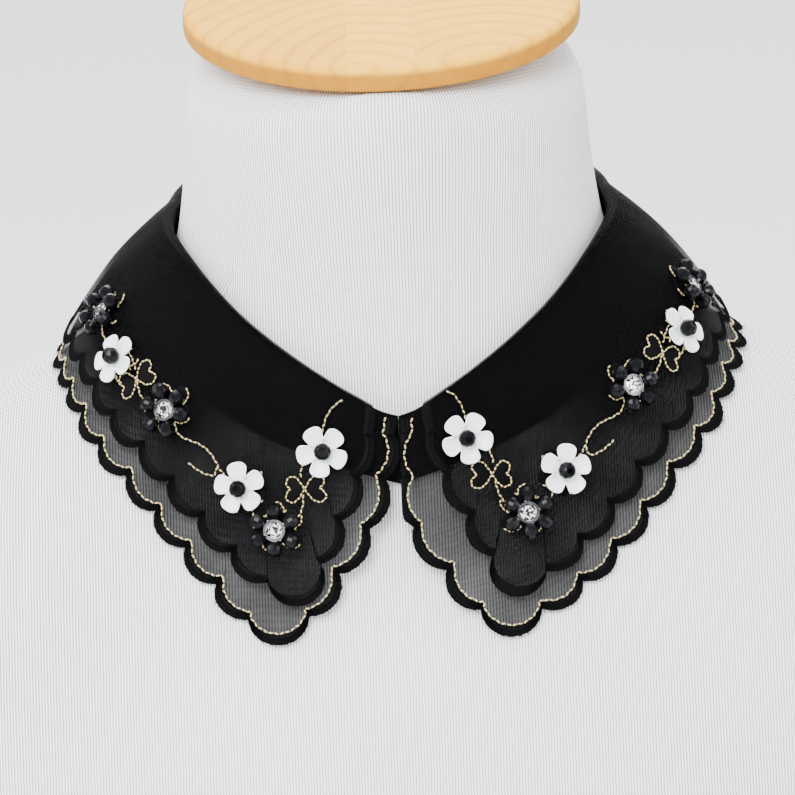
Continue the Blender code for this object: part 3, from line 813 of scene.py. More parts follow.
def fall_grid(sheet, marks):
    """Points of one half from the fold to the edge, and outward directions, by row and place."""
    place = np.arange((len(marks) - 1) * COLUMNS_PER_SCALLOP + 1) / COLUMNS_PER_SCALLOP
    inner = outline(sheet, marks, BORDER_WIDTH, COLUMNS_PER_SCALLOP)
    numbers = np.arange(len(marks))
    reached = np.interp(place, numbers, [mark[0] for mark in marks])
    point = len(marks) - SCALLOPS_ROUND_SIDE - 1.5
    top = reached + np.interp(place, [0, point, point + LEAD_FADE], [0, FOLD_LEAD, 0])
    rows = []
    for part_way in np.linspace(0, 1, ROWS_TO_BORDER):
        bend = part_way * (1.15 - 0.15 * part_way)
        rows.append(np.stack([top + (inner[:, 0] - top) * bend, inner[:, 1] * part_way], axis=1))
    for inward in (0.6 * BORDER_WIDTH, 0.3 * BORDER_WIDTH, 0.0):
        rows.append(outline(sheet, marks, inward, COLUMNS_PER_SCALLOP))
    grid = np.array(rows)
    grid[:, -1, 0] = 180.0
    points, _, _, outward = sheet.read(grid[..., 0], grid[..., 1])
    in_front = points[..., 1] < 0
    points[..., 0] = np.where(in_front, np.maximum(points[..., 0], HALVES_APART / 2), points[..., 0])
    return points, outward


def whole(left, right):
    """The wearer's left half and the mirrored right half, joined at the middle back."""
    return np.concatenate([left, (right * (-1, 1, 1))[:, ::-1][:, 1:]], axis=1)


def both_halves(layer, sheets):
    halves = [fall_grid(sheets[side], notches(layer, sheets[side], side)) for side in (1, -1)]
    return [whole(*pair) for pair in zip(*halves)]


def flat_places(points):
    """Places in millimetres along and down the cloth, for its weave."""
    down = np.linalg.norm(np.diff(points, axis=0), axis=-1)
    down = np.concatenate([0 * down[:1], np.cumsum(down, axis=0)])
    along = np.linalg.norm(np.diff(points[ROWS_TO_BORDER // 2], axis=0), axis=-1)
    along = np.concatenate([[0], np.cumsum(along)])
    return np.stack([np.broadcast_to(along, down.shape), down], axis=-1)


def organza(name, cover, clouds):
    """Sheer cloth of fine twisted threads; where the layers' weaves cross it looks clouded."""
    cloth = Finish(name, Roughness=0.65, Specular_IOR_Level=0.03, Base_Color=ORGANZA_COLOUR)
    flat = cloth.node("ShaderNodeUVMap", {"uv_map": "flat"})
    parts = cloth.node("ShaderNodeSeparateXYZ", values=[flat])
    along, down = (Value(cloth, parts.socket.node.outputs[axis]) for axis in "XY")
    warp = (along * (math.pi / THREAD_PITCH)).sin().absolute()
    weft = (down * (math.pi / THREAD_PITCH)).sin().absolute()
    where = cloth.node("ShaderNodeTexCoord", output="Object")
    cloudy = cloth.noise(where, 70.0, 3.0)
    fine = cloth.noise(where, 520.0, 2.0)
    wave = (down * 3.4 + along * 1.1 + cloudy * 14.0).sin() * 0.5 + 0.5
    thread = (warp + weft) * 0.5 - 0.64
    sideways = (Value(cloth, cloth.node("ShaderNodeSeparateXYZ", values=[where]).socket)).absolute()
    denser = 1 + 0.85 * sideways.ramp(SIDE_FROM, SIDE_TO) * (1 - down.ramp(*DENSE_DOWN))
    share = cover * denser * (1 + 0.07 * thread + clouds * (cloudy - 0.5) + clouds * 0.15 * (wave - 0.5) + 0.10 * (fine - 0.5))
    cloth.feed("Alpha", share.kept(0.05, 1))
    cloth.bump(cloudy, 0.10 * MM, 0.3)
    return cloth


grid_angles, grid_shares = np.meshgrid(Sheet.ANGLES, Sheet.SHARES, indexing="ij")
past_middle = (grid_angles < 0) | (grid_angles > 180)
within = 180 - np.abs(180 - np.abs(grid_angles))
middle = lower_middle(within, grid_shares)
lower_plain = Sheet(np.where(past_middle[..., None], middle * (-1, 1, 1), middle))
lower_sheets = {side: lower_plain.moved_out(creased(within, grid_shares, side)) for side in (1, -1)}
single = organza("organza_single", ORGANZA_COVER, 0.35)
lower_points, lower_outward = both_halves("lower", lower_sheets)
lower_fall = mesh_piece(
    "organza_lower_fall",
    lower_points.reshape(-1, 3),
    grid_faces(*lower_points.shape[:2]),
    flat_places(lower_points).reshape(-1, 2),
)
finished(
    lower_fall, single, ("SOLIDIFY", {"thickness": CLOTH_WALL * MM, "offset": 0.0}), smooth=math.radians(50)
)
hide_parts("fall_lower")


# The border of the lower fall: black satin stitch that covers the scalloped edge, raised over a
# padding thread, with a twisted gold thread couched along its inner side and a fray outside.
STITCH_WIDTH = 0.42
SATIN_RISE = 0.45
SATIN_UNDER = 0.32
SATIN_JITTER = 0.13
SATIN_STEPS = 40
LOWER_GOLD = {"length": 1.15, "width": 0.44, "pitch": 1.5, "slant": 17.0}
HAIRS = 1500
HAIR_LENGTHS = (0.7, 1.7)
HAIR_RADIUS = 0.06
FRONT_STEPS = 3
seeded = np.random.default_rng(41)

satin = Finish("black_satin_stitch", Roughness=0.5, Specular_IOR_Level=0.035, Base_Color=(0.0012, 0.0012, 0.0015, 1))
where, *_ = satin.place()
satin.bump(satin.noise(where, 1500.0), 0.06 * MM, 0.5)
gold = Finish("gold_thread", Metallic=0.35, Roughness=0.42)
where, *_ = gold.place()
glint = gold.noise(where, 1300.0, 2.0)
gold.feed("Base Color", gold.mixed(glint, (0.22, 0.15, 0.03, 1), (1.0, 0.86, 0.42, 1)))
gold.bump(glint, 0.08 * MM, 0.6)


def edge_line(layer, sheets, inward):
    """Points and outward directions along the whole scalloped edge, moved inward."""
    halves = []
    for side in (1, -1):
        marks = notches(layer, sheets[side], side)
        found = outline(sheets[side], marks, inward, SATIN_STEPS)[FRONT_STEPS:]
        points, _, _, outward = sheets[side].read(found[:, 0], found[:, 1])
        in_front = points[:, 1] < 0
        points[:, 0] = np.where(in_front, np.maximum(points[:, 0], HALVES_APART / 2), points[:, 0])
        halves.append((points, outward))
    (left, left_out), (right, right_out) = halves
    mirror = (-1, 1, 1)
    return [np.concatenate([a, (b * mirror)[::-1][1:]]) for a, b in ((left, right), (left_out, right_out))]


def along_line(line, *others, pitch):
    """A line and others beside it read again at an even pitch of the first."""
    run = np.concatenate([[0], np.cumsum(np.linalg.norm(np.diff(line, axis=0), axis=1))])
    stops = np.linspace(0, run[-1], max(int(round(run[-1] / pitch)), 1) + 1)
    return [np.stack([np.interp(stops, run, axis) for axis in each.T], axis=1) for each in (line, *others)]


def satin_border(name, layer, sheets, width):
    """A dome of stitches across the edge: two rings of points to a stitch, one high, one low."""
    edge, outward = edge_line(layer, sheets, -0.15)
    inner, inner_outward = edge_line(layer, sheets, width)
    edge, outward, inner = along_line(edge, outward, inner, pitch=STITCH_WIDTH / 2)
    count = len(edge)
    across = (inner - edge)[:, None, :]
    jitter = np.repeat(seeded.uniform(-1, 1, (count // 2 + 1, 2)), 2, axis=0)[:count] * SATIN_JITTER
    ridge = np.where(np.arange(count) % 2 == 0, 1.0, 0.62)[:, None]
    reach = np.linalg.norm(across, axis=-1)
    turns = np.linspace(0, math.pi, 7)
    top = 0.5 - 0.5 * np.cos(turns)
    share = np.concatenate([top, [0.78, 0.22]])[None, :]
    rise = np.concatenate([np.sin(turns) ** 0.7 * SATIN_RISE, [0, 0]])[None, :] * ridge
    rise = rise - np.concatenate([0 * turns, [SATIN_UNDER, SATIN_UNDER]])[None, :]
    share = share + (share < 0.5) * jitter[:, :1] / reach + (share > 0.5) * jitter[:, 1:] / reach
    rings = edge[:, None, :] + across * share[..., None] + outward[:, None, :] * rise[..., None]
    size = rings.shape[1]
    corner = (np.arange(count - 1)[:, None] * size + np.arange(size)[None, :]).ravel()
    following = (np.arange(count - 1)[:, None] * size + (np.arange(size)[None, :] + 1) % size).ravel()
    faces = np.stack([corner, following, following + size, corner + size], axis=1).tolist()
    faces += [list(range(size))[::-1], list(range((count - 1) * size, count * size))]
    piece = mesh_piece(name, rings.reshape(-1, 3), grid_faces(2, 2))
    piece.data.clear_geometry()
    placed = rings.reshape(-1, 3) * MM + PIT_OF_NECK
    piece.data.from_pydata(placed.tolist(), [], faces)
    finished(piece, satin, smooth=math.radians(70))
    return piece


def primitive_points(sides, rings, shape):
    """Points and faces of a small sphere primitive of radius 1, its halves drawn apart by shape."""
    bpy.ops.mesh.primitive_uv_sphere_add(segments=sides, ring_count=rings, radius=1, location=(0, 0, 0))
    made = bpy.context.object
    points = np.array([vertex.co[:] for vertex in made.data.vertices])
    faces = [list(face.vertices) for face in made.data.polygons]
    bpy.data.objects.remove(made)
    return shape(points), faces


def strewn(name, template, places, finish, smooth=math.radians(60)):
    """One joined mesh with the template at each place, given as (origin, three directions)."""
    points, faces = template
    every = [origin + points @ np.array(axes) for origin, axes in places]
    numbers = [[corner + len(points) * k for corner in face] for k in range(len(places)) for face in faces]
    mesh = bpy.data.meshes.new(name)
    mesh.from_pydata((np.concatenate(every) * MM + PIT_OF_NECK).tolist(), [], numbers)
    piece = bpy.data.objects.new(name, mesh)
    bpy.context.scene.collection.objects.link(piece)
    finished(piece, finish, smooth=smooth)
    return piece


def stitch_shape(length, width, thick):
    """A thread stitch: a capsule lying along the first axis."""
    def shape(points):
        rod = points[:, [2, 0, 1]] * (width / 2, width / 2, thick / 2)
        rod[:, 0] += np.sign(points[:, 2]) * (length - width) / 2 * (np.abs(points[:, 2]) > 0.01)
        return rod
    return primitive_points(8, 6, shape)


def stitch_places(line, outward, pitch, slant, lift):
    """Stitches along a line, turned a little to either side by turns like a twisted thread."""
    line, outward = along_line(line, outward, pitch=pitch)
    places = []
    for k in range(len(line) - 1):
        heading = line[k + 1] - line[k]
        face = outward[k] + outward[k + 1]
        heading = heading - face * (heading @ face) / (face @ face)
        heading /= np.linalg.norm(heading)
        face /= np.linalg.norm(face)
        side = np.cross(face, heading)
        turn = math.radians(slant + seeded.uniform(-5, 5)) * (1 if k % 2 else -1)
        ahead = heading * math.cos(turn) + side * math.sin(turn)
        places.append(((line[k] + line[k + 1]) / 2 + face * lift, (ahead, np.cross(face, ahead), face)))
    return places


lower_border = satin_border("lower_satin_border", "lower", lower_sheets, BORDER_WIDTH)
couched, couched_out = edge_line("lower", lower_sheets, BORDER_WIDTH + 0.25)
lower_gold = strewn(
    "lower_gold_line",
    stitch_shape(LOWER_GOLD["length"], LOWER_GOLD["width"], 0.5),
    stitch_places(couched, couched_out, LOWER_GOLD["pitch"], LOWER_GOLD["slant"], 0.3),
    gold,
)

edge, outward = edge_line("lower", lower_sheets, -0.1)
edge_in, _ = edge_line("lower", lower_sheets, 0.9)
hair_places = []
for _ in range(HAIRS):
    k = seeded.integers(0, len(edge) - 1)
    away = edge[k] - edge_in[k]
    away = away / np.linalg.norm(away) + seeded.normal(0, 0.55, 3)
    away /= np.linalg.norm(away)
    side = np.cross(away, outward[k])
    side /= np.linalg.norm(side)
    length = seeded.uniform(*HAIR_LENGTHS)
    hair_places.append((edge[k], (away * length, side * HAIR_RADIUS, np.cross(away, side) * HAIR_RADIUS)))
hair = (np.array([(0, 1, 0), (0, -0.5, 0.87), (0, -0.5, -0.87), (1, 0, 0)]), [[0, 2, 1], [0, 1, 3], [1, 2, 3], [2, 0, 3]])
fray = strewn("lower_edge_fray", hair, hair_places, satin, smooth=math.pi)


# The upper fall: a narrower leaf of the same organza, sewn into the same fold over the lower one,
# rolled over the fold and finished with a plain satin-stitched scalloped edge.
CLOSER = 0.4
ROLL = [(0.1, 0.5), (-1.3, 0.7), (-2.7, 0.2), (-2.9, -1.5)]

apart = FALL_WALL + SEAM_GAP + (FALLS_APART - SEAM_GAP) * np.clip(grid_shares / FALLS_APART_FROM, 0, 1)
upper_sheets = {side: lower_sheets[side].moved_out(apart - CLOSER) for side in (1, -1)}
upper_plain = lower_plain.moved_out(apart)
upper_points, upper_outward = both_halves("upper", upper_sheets)
along_fold = upper_points[0]
level_out = upper_outward[0] * (1, 1, 0)
level_out /= np.linalg.norm(level_out, axis=1)[:, None]
rolled = [along_fold + level_out * out + (0, 0, up) for out, up in ROLL]
upper_points = np.concatenate([np.array(rolled[::-1]), upper_points])
layered = organza("organza_layered", ORGANZA_COVER - 0.09, 0.75)
upper_fall = mesh_piece(
    "organza_upper_fall",
    upper_points.reshape(-1, 3),
    grid_faces(*upper_points.shape[:2]),
    flat_places(upper_points).reshape(-1, 2),
)
finished(
    upper_fall, layered, ("SOLIDIFY", {"thickness": CLOTH_WALL * MM, "offset": 0.0}), smooth=math.radians(50)
)
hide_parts("fall_upper")
upper_border = satin_border("upper_satin_border", "upper", upper_sheets, BORDER_WIDTH)


# Gold embroidery on the upper fall: stems and twigs in couched stitches from flower to flower,
# two four-leaved clovers filled with black satin and edged in gold, and petals under the beads.
VINE = {"length": 1.0, "width": 0.4, "pitch": 1.35, "slant": 17.0}
LEAF_EDGE = {"length": 0.85, "width": 0.4, "pitch": 1.15, "slant": 15.0}
LEAF_RISE = 0.45
LEAF_POINTS = 40
PETAL_RADIUS = {"white_flower": 6.6, "bead_flower": 6.8}
PETALS_OFF = {"white_flower": (-0.7, -0.2), "bead_flower": (-0.5, 0.9)}
BARE_FLOWER = ("white_flower", 0)
SHOWN_STITCHES = 5
HIDDEN_STITCHES = 4

# Centres of the ornaments, and how far they are turned
ORNAMENTS = {
    "white_flower": Table(
        "out_r height_r out_l height_l turn",
        [(19.9, 11.0, 17.4, 12.9, 44), (41.6, 1.8, 42.5, 2.9, 30), (73.3, 30.9, 75.4, 31.6, 50)],
    ),
    "bead_flower": Table(
        "out_r height_r out_l height_l turn",
        [(32.9, -8.7, 32.3, -6.8, 10), (60.2, 20.2, 60.9, 21.4, 25), (76.6, 40.4, 79.0, 39.8, 0)],
    ),
}
# Stems and twigs as places out from the middle and up, on a side halfway between the two
STEMS = [
    [(13.1, 24.7), (15.7, 22.9), (17.7, 19.9), (18.6, 16.5)],
    [(20.5, 12), (24.5, 8), (25, 5.3)],
    [(24.9, 1.2), (25.3, -1.8), (27.1, -5), (31, -7.6)],
    [(34, -7.6), (38, -5.5), (39.2, -3), (41.5, 1)],
    [(44, 3.5), (47.3, 6.7), (48.6, 9.4), (50.3, 11.6), (52.5, 13), (55.1, 13.8), (57.8, 15.1), (58.8, 18)],
    [(48, 7.6), (48.7, 5.3), (51.8, 5.8), (53.9, 7), (55.6, 8.3)],
    [(62.5, 21.2), (66.8, 22.7), (68.5, 25.3), (68.9, 27)],
    [(69.3, 29.5), (70.6, 32.5), (71.8, 33.8), (74, 32.2)],
    [(75.2, 33), (78.8, 36), (78.4, 38.6), (76.6, 41.3)],
]
# Middle of each clover, the length of its two heart-shaped leaves and how far they slope down
CLOVERS = [((24.3, 2.5), 5.2, 0), ((69.1, 27.4), 5.5, 20)]
HEART = [(0, 0), (0.16, 0.26), (0.34, 0.52), (0.60, 0.70), (0.88, 0.62), (1.02, 0.40), (0.94, 0.16), (0.70, 0)]


def ornament_places(side):
    """Middle of each ornament on one side, and of the two sides' together."""
    own, mean = [], []
    for table in ORNAMENTS.values():
        for row in table.rows():
            right = np.array([row["out_r"], row["height_r"]])
            left = np.array([row["out_l"], row["height_l"]])
            own.append(left if side > 0 else right)
            mean.append((left + right) / 2)
    return np.array(own), np.array(mean)


def moved_place(place, side):
    """A place between the two sides' mean, moved as the ornaments near it are on one side."""
    own, mean = ornament_places(side)
    weight = 1 / (((mean - place) ** 2).sum(axis=1) + 4) ** 1.5
    return place + ((own - mean) * weight[:, None]).sum(axis=0) / weight.sum()


def stitched_route(route, side):
    """A route drawn between the sides' mean, laid on one side's upper fall."""
    moved = np.array([moved_place(place, side) for place in route])
    run = np.concatenate([[0], np.cumsum(np.linalg.norm(np.diff(moved, axis=0), axis=1))])
    table = Table("run out height", np.stack([run, *moved.T], axis=1)) if len(run) > 2 else None
    stops = np.linspace(0, run[-1], max(int(run[-1] / 0.5), 3))
    if table is None:
        dense = np.stack([np.interp(stops, run, axis) for axis in moved.T], axis=1)
    else:
        dense = np.stack([table.at("run", name, stops) for name in ("out", "height")], axis=1)
    sheet = upper_sheets[side]
    found = np.array([sheet.found(*place) for place in dense])
    points, _, _, outward = sheet.read(found[:, 0], found[:, 1])
    return points * (side, 1, 1), outward * (side, 1, 1)


def heart_outline(length, way):
    """A heart-shaped leaf with its tip at the clover's middle and its notch outermost."""
    half = np.array(HEART) * length
    around = np.concatenate([half, half[-2:0:-1] * (1, -1)]) * way
    run = np.arange(len(around) + 1)
    stops = np.linspace(0, len(around), LEAF_POINTS + 1)[:-1]
    closed = np.concatenate([around, around[:1]])
    return np.stack([np.interp(stops, run, axis) for axis in closed.T], axis=1)


def petal_outline(radius, turn):
    """Five embroidered petals in one closed line."""
    turns = np.linspace(0, 2 * math.pi, LEAF_POINTS * 2 + 1)[:-1]
    reach = radius * (0.56 + 0.44 * np.abs(np.cos(2.5 * turns)) ** 0.6)
    return reach[:, None] * np.stack([np.cos(turns + turn), np.sin(turns + turn)], axis=1)


def laid_flat(place, around, slope, side):
    """An outline about a place on the upper fall, laid on it with its first axis at a slope."""
    sheet = upper_sheets[side]
    angle, share = sheet.found(*place)
    _, by_angle, by_share, outward = sheet.read(angle, share)
    level = np.array([math.cos(math.radians(slope)), 0, math.sin(math.radians(slope))])
    level -= outward * (level @ outward)
    level /= np.linalg.norm(level)
    offsets = around[:, :1] * level + around[:, 1:] * np.cross(outward, level)
    slopes = np.linalg.pinv(np.stack([by_angle, by_share], axis=1))
    moved = offsets @ slopes.T
    points, _, _, outward = sheet.read(angle + moved[:, 0], share + moved[:, 1])
    return points * (side, 1, 1), outward * (side, 1, 1)


vine_places, leaf_edge_places = [], []
fills, petal_places = [], []
for side in (1, -1):
    for stem in STEMS:
        points, outward = stitched_route(stem, side)
        vine_places += stitch_places(points, outward, VINE["pitch"], VINE["slant"], 0.36)
    for middle, length, slope in CLOVERS:
        for way in (1, -1):
            rim = heart_outline(length, way)
            points, outward = laid_flat(moved_place(middle, side), np.concatenate([rim, rim[:1]]), -slope, side)
            leaf_edge_places += stitch_places(points, outward, LEAF_EDGE["pitch"], LEAF_EDGE["slant"], 0.42)
            fills.append((points[:-1], outward[:-1]))
    for kind, table in ORNAMENTS.items():
        for number, row in enumerate(table.rows()):
            if (kind, number) == BARE_FLOWER:
                continue
            name = "l" if side > 0 else "r"
            centre = np.array([row[f"out_{name}"], row[f"height_{name}"]]) + PETALS_OFF[kind]
            rim = petal_outline(PETAL_RADIUS[kind], math.radians(18 - row["turn"]))
            points, outward = laid_flat(centre, np.concatenate([rim, rim[:1]]), 0, side)
            around = stitch_places(points, outward, LEAF_EDGE["pitch"], LEAF_EDGE["slant"], 0.42)
            run = SHOWN_STITCHES + HIDDEN_STITCHES
            leaf_edge_places += [place for k, place in enumerate(around) if k % run < SHOWN_STITCHES]
            fills.append((points[:-1], outward[:-1]))
vine = strewn("gold_vine", stitch_shape(VINE["length"], VINE["width"], 0.45), vine_places, gold)
leaf_edges = strewn("gold_clover_edges", stitch_shape(LEAF_EDGE["length"], LEAF_EDGE["width"], 0.4), leaf_edge_places, gold)

leaf_points, leaf_faces = [], []
for rim, outward in fills:
    middle, face = rim.mean(axis=0), outward.mean(axis=0)
    start = len(leaf_points)
    count = len(rim)
    rings = [(1.0, -0.1), (0.97, 0.3), (0.8, 0.42), (0.45, 0.5)]
    for share, rise in rings:
        leaf_points.extend(middle + (rim - middle) * share + face * rise)
    leaf_points.append(middle + face * 0.52)
    for ring in range(len(rings) - 1):
        for k in range(count):
            a = start + ring * count + k
            b = start + ring * count + (k + 1) % count
            leaf_faces.append((a, b, b + count, a + count))
    last = start + (len(rings) - 1) * count
    leaf_faces += [(last + k, last + (k + 1) % count, len(leaf_points) - 1) for k in range(count)]
leaf_mesh = bpy.data.meshes.new("clover_leaves")
leaf_mesh.from_pydata((np.array(leaf_points) * MM + PIT_OF_NECK).tolist(), [], leaf_faces)
clover_leaves = bpy.data.objects.new("clover_leaves", leaf_mesh)
bpy.context.scene.collection.objects.link(clover_leaves)
finished(clover_leaves, satin, smooth=math.radians(50))


# White flowers: five-petalled cups of moulded white plastic, six in all, each held on by a thread
# through one black faceted glass bead. Slits part the petals, whose rims are lipped.
PETALS = 5
FLOWER_RADIUS = 6.75
SHOULDER = 0.95
SLIT_FROM = math.radians(26)
SLIT_AT = math.radians(31)
SLIT_RADIUS = 3.7
FLOWER_POINTS = 150
PLASTIC = 0.5
BEAD_RADIUS = 2.15
FLOWER_BEAD = 1.1
# Rings of a flower: share of the way out, height, how much of the petals' outline, petals' cupping
FLOWER_RINGS = Table(
    "share height lobed cupped",
    [
        (0.10, 0.6, 0.0, 0.0),
        (0.30, 0.6, 0.0, 0.0),
        (0.45, 0.65, 0.15, 0.0),
        (0.58, 0.75, 0.8, 0.1),
        (0.72, 0.9, 1.0, 0.25),
        (0.85, 1.1, 1.0, 0.4),
        (0.95, 1.4, 1.0, 0.6),
        (1.0, 1.75, 1.0, 0.7),
    ],
)

plastic = Finish("white_plastic", Roughness=0.38, Base_Color=(0.83, 0.875, 0.86, 1), Coat_Weight=0.15)
where, *_ = plastic.place()
plastic.bump(plastic.noise(where, 700.0), 0.03 * MM, 0.3)
glass = Finish("black_glass", Base_Color=(0.003, 0.003, 0.004, 1), Specular_IOR_Level=0.10)
where, *_ = glass.place()
glass.feed("Roughness", glass.noise(where, 400.0) * 0.12 + 0.04)


def seat(side, kind, number):
    """Where an ornament sits on the upper fall, and its three directions there."""
    row = ORNAMENTS[kind].rows()[number - 1]
    name = "l" if side > 0 else "r"
    angle, share = upper_plain.found(row[f"out_{name}"], row[f"height_{name}"])
    centre, by_angle, _, outward = upper_plain.read(angle, share)
    across = by_angle / np.linalg.norm(by_angle)
    down = np.cross(across, outward)
    turn = math.radians(row["turn"])
    first = across * math.cos(turn) + down * math.sin(turn)
    second = down * math.cos(turn) - across * math.sin(turn)
    mirror = np.array([side, 1, 1])
    return centre * mirror, first * mirror, second * mirror, outward * mirror


def flower_sheet():
    """One cup of petals about the origin, shaped from a circle drawn in ring by ring."""
    bpy.ops.object.select_all(action="DESELECT")
    bpy.ops.mesh.primitive_circle_add(vertices=FLOWER_POINTS, radius=1, fill_type="NOTHING", location=(0, 0, 0))
    flower = bpy.context.object
    bpy.ops.object.mode_set(mode="EDIT")
    bpy.ops.mesh.select_all(action="SELECT")
    shares = FLOWER_RINGS.columns["share"][::-1]
    for wider, narrower in zip(shares[:-1], shares[1:]):
        bpy.ops.mesh.extrude_region_move()
        bpy.ops.transform.resize(value=[narrower / wider] * 2 + [1], center_override=(0, 0, 0))
    bpy.ops.mesh.fill()
    bpy.ops.object.mode_set(mode="OBJECT")
    sector = 2 * math.pi / PETALS
    for vertex in flower.data.vertices:
        share = math.hypot(vertex.co.x, vertex.co.y)
        turn = math.atan2(vertex.co.y, vertex.co.x)
        inside = (turn + sector / 2) % sector - sector / 2
        off = abs(inside) / SLIT_FROM
        lobe = FLOWER_RADIUS - SHOULDER * off**3.2
        if off > 1:
            lobe += (SLIT_RADIUS - lobe) * min((abs(inside) - SLIT_FROM) / (SLIT_AT - SLIT_FROM), 1)
        lobed = float(FLOWER_RINGS.at("share", "lobed", share))
        cupped = float(FLOWER_RINGS.at("share", "cupped", share))
        reach = share * (lobe * lobed + 5.6 * (1 - lobed))
        lift = float(FLOWER_RINGS.at("share", "height", share)) + cupped * (abs(inside) / SLIT_AT) ** 2 * 0.6
        vertex.co = (reach * math.cos(turn), reach * math.sin(turn), lift)
    return flower


def faceted_bead():
    """A black bead about the origin: flat facets, its top cut flat with a hole sunk into it."""
    bpy.ops.object.select_all(action="DESELECT")
    bpy.ops.mesh.primitive_uv_sphere_add(segments=10, ring_count=8, radius=BEAD_RADIUS, location=(0, 0, 0))
    bead = bpy.context.object
    bpy.ops.object.mode_set(mode="EDIT")
    bpy.ops.mesh.select_all(action="SELECT")
    bpy.ops.mesh.bisect(plane_co=(0, 0, 1.72), plane_no=(0, 0, 1), clear_outer=True, use_fill=True)
    bpy.ops.mesh.inset(thickness=0.45)
    bpy.ops.mesh.extrude_region_move(TRANSFORM_OT_translate={"value": (0, 0, -1.2)})
    bpy.ops.object.mode_set(mode="OBJECT")
    return bead


def taken(piece):
    """Points and faces of a piece that was modelled about the origin, which then goes."""
    made = np.array([vertex.co[:] for vertex in piece.data.vertices]), [list(f.vertices) for f in piece.data.polygons]
    bpy.data.objects.remove(piece)
    return made


flower_model = flower_sheet()
for kind, settings in (
    ("SOLIDIFY", {"thickness": PLASTIC, "offset": 0.0}),
    ("SUBSURF", {"levels": 1, "render_levels": 1}),
):
    made = flower_model.modifiers.new(kind.title(), kind)
    for label, value in settings.items():
        setattr(made, label, value)
    bpy.ops.object.modifier_apply(modifier=made.name)
sewn_on = [upper_border, vine, leaf_edges, clover_leaves]
flower_template = taken(flower_model)
bead_template = taken(faceted_bead())
for side, letter in ((1, "l"), (-1, "r")):
    for number in (1, 2, 3):
        centre, first, second, outward = seat(side, "white_flower", number)
        flower = strewn(
            f"white_flower_cup_{letter}{number}",
            flower_template,
            [(centre + outward * 0.3, (first, second, outward))],
            plastic,
            smooth=math.radians(55),
        )
        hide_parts(f"white_flower_{letter}{number}")
        tip = seeded.normal(0, 0.18, 3)
        aim = outward + tip
        aim /= np.linalg.norm(aim)
        flank = np.cross(aim, first)
        flank /= np.linalg.norm(flank)
        off = first * seeded.uniform(-0.3, 0.3) + second * seeded.uniform(-0.3, 0.3)
        bead = strewn(
            f"white_flower_bead_{letter}{number}",
            bead_template,
            [(centre + off + outward * 3.3, FLOWER_BEAD * np.array((np.cross(flank, aim), flank, aim)))],
            glass,
            smooth=None,
        )
        sewn_on += [flower, bead]


# Bead flowers: a clear cut-glass rhinestone in a silver claw setting that is sewn down inside a
# ring of six faceted black glass beads, over five satin petals embroidered in gold and black.
BEADS = 6
BEAD_RING_RADIUS = 5.05
STONE_RADIUS = 2.65
STONE_FOOT = 1.5
CLAWS = 4
SETTING_WALL = 0.22
FACETS = 8

# Painted reflections: the stone's faces are coloured near black or white, each at random, with fine bright speckles,
# standing in for the light the clear cut glass throws back.
crystal = Finish("crystal", Metallic=0.3, Roughness=0.08, Coat_Weight=1.0, Coat_Roughness=0.02)
facet_glint = crystal.node("ShaderNodeAttribute", {"attribute_name": "facet_glint"}, output=2)
where, *_ = crystal.place()
spark = (facet_glint * 0.45 + crystal.noise(where, 1400.0, 1.0)).ramp(0.62, 0.72)
crystal.feed("Base Color", crystal.mixed(spark, (0.004, 0.004, 0.005, 1), (1.0, 1.0, 1.0, 1)))
silver = Finish("silver", Metallic=1.0, Roughness=0.22)
where, *_ = silver.place()
silver.feed("Base Color", silver.mixed(silver.noise(where, 500.0), (0.05, 0.05, 0.055, 1), (0.22, 0.22, 0.23, 1)))


def cut_stone():
    """A round cut stone about the origin: a girdle with table, star and kite facets above it."""
    bpy.ops.object.select_all(action="DESELECT")
    bpy.ops.mesh.primitive_circle_add(
        vertices=2 * FACETS, radius=STONE_RADIUS, fill_type="NGON", location=(0, 0, 0.9)
    )
    stone = bpy.context.object
    bpy.ops.object.mode_set(mode="EDIT")
    bpy.ops.mesh.select_all(action="SELECT")
    bpy.ops.mesh.extrude_region_move(TRANSFORM_OT_translate={"value": (0, 0, 0.25)})
    bpy.ops.mesh.extrude_region_move(TRANSFORM_OT_translate={"value": (0, 0, 0.55)})
    bpy.ops.transform.resize(value=(0.78, 0.78, 1), center_override=(0, 0, 0))
    bpy.ops.transform.rotate(value=math.pi / FACETS / 2, orient_axis="Z", center_override=(0, 0, 0))
    bpy.ops.mesh.extrude_region_move(TRANSFORM_OT_translate={"value": (0, 0, 0.38)})
    bpy.ops.transform.resize(value=(0.70, 0.70, 1), center_override=(0, 0, 0))
    bpy.ops.transform.rotate(value=math.pi / FACETS / 2, orient_axis="Z", center_override=(0, 0, 0))
    bpy.ops.mesh.select_all(action="SELECT")
    bpy.ops.mesh.quads_convert_to_tris()
    bpy.ops.mesh.normals_make_consistent(inside=False)
    bpy.ops.object.mode_set(mode="OBJECT")
    return stone


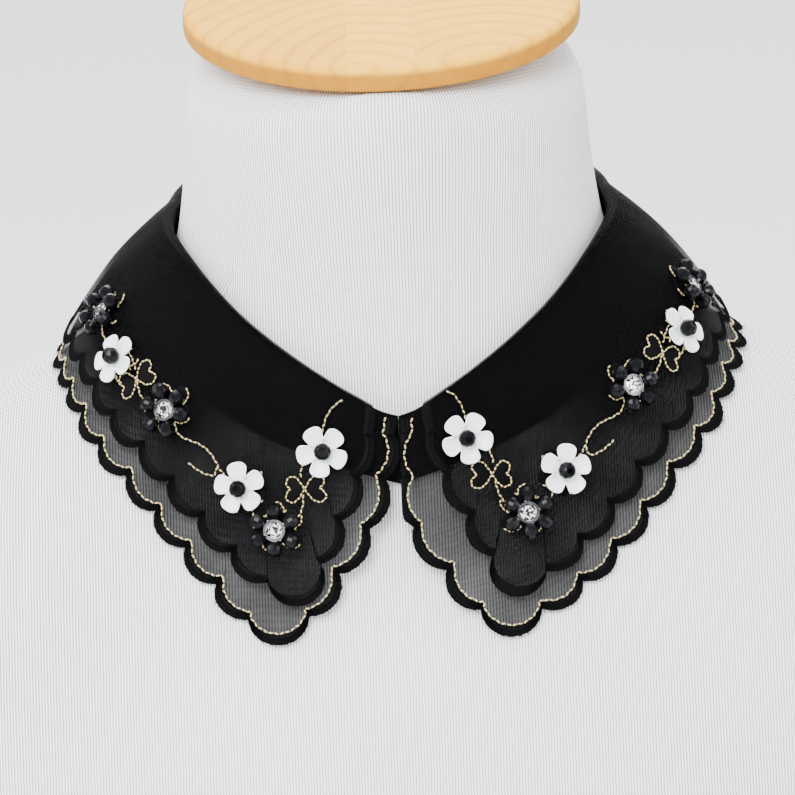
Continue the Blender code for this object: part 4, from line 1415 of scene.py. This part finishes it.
def claw_setting():
    """The silver cup about the origin: a thin ring with four claws bent in over the stone."""
    bpy.ops.object.select_all(action="DESELECT")
    bpy.ops.mesh.primitive_circle_add(
        vertices=32, radius=STONE_RADIUS + SETTING_WALL, fill_type="NGON", location=(0, 0, 0.2)
    )
    setting = bpy.context.object
    bpy.ops.object.mode_set(mode="EDIT")
    bpy.ops.mesh.select_all(action="SELECT")
    bpy.ops.mesh.extrude_region_move(TRANSFORM_OT_translate={"value": (0, 0, 0.95)})
    bpy.ops.mesh.inset(thickness=SETTING_WALL)
    bpy.ops.mesh.extrude_region_move(TRANSFORM_OT_translate={"value": (0, 0, -0.3)})
    for claw in range(CLAWS):
        turn = (claw + 0.5) * 2 * math.pi / CLAWS
        reach = STONE_RADIUS + 0.1
        bpy.ops.mesh.primitive_cube_add(size=1, location=(reach, 0, 1.25))
        bpy.ops.transform.resize(value=(0.5, 0.75, 1.0), center_override=(reach, 0, 1.25))
        bpy.ops.mesh.bevel(offset=0.14, segments=2)
        bpy.ops.transform.rotate(value=math.radians(-22), orient_axis="Y", center_override=(reach, 0, 0.8))
        bpy.ops.transform.rotate(value=turn, orient_axis="Z", center_override=(0, 0, 0))
    bpy.ops.mesh.select_all(action="SELECT")
    bpy.ops.mesh.normals_make_consistent(inside=False)
    bpy.ops.object.mode_set(mode="OBJECT")
    return setting


stone_template = taken(cut_stone())
setting_template = taken(claw_setting())
for side, letter in ((1, "l"), (-1, "r")):
    for number in (1, 2, 3):
        centre, first, second, outward = seat(side, "bead_flower", number)
        bead_places = []
        for bead in range(BEADS):
            turn = bead * 2 * math.pi / BEADS + seeded.uniform(-0.05, 0.05)
            out = first * math.cos(turn) + second * math.sin(turn)
            about = second * math.cos(turn) - first * math.sin(turn)
            hole = about + outward * seeded.uniform(-0.15, 0.15) + out * seeded.uniform(-0.15, 0.15)
            hole /= np.linalg.norm(hole)
            spin = seeded.uniform(0, math.pi)
            axis = np.cross(hole, outward)
            axis /= np.linalg.norm(axis)
            other = np.cross(hole, axis)
            facing = axis * math.cos(spin) + other * math.sin(spin)
            reach = BEAD_RING_RADIUS + seeded.uniform(-0.3, 0.35)
            middle_of_bead = centre + out * reach + outward * (BEAD_RADIUS + 0.35)
            bead_places.append((middle_of_bead, (facing, np.cross(hole, facing), hole)))
        beads = strewn(f"bead_flower_beads_{letter}{number}", bead_template, bead_places, glass, smooth=None)
        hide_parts(f"bead_flower_{letter}{number}")
        spin = seeded.uniform(0, math.pi)
        ahead = first * math.cos(spin) + second * math.sin(spin)
        aside = second * math.cos(spin) - first * math.sin(spin)
        place = [(centre + outward * STONE_FOOT, (ahead, aside, outward))]
        setting = strewn(f"silver_setting_{letter}{number}", setting_template, place, silver)
        stone = strewn(f"crystal_{letter}{number}", stone_template, place, crystal, smooth=None)
        # Painted reflections: a random brightness for each face of the stone.
        facet_glint = stone.data.attributes.new("facet_glint", "FLOAT", "FACE")
        facet_glint.data.foreach_set("value", seeded.choice([0.0, 0.0, 0.06, 0.3, 0.9, 1.0], len(stone.data.polygons)))
        sewn_on += [beads, setting, stone]
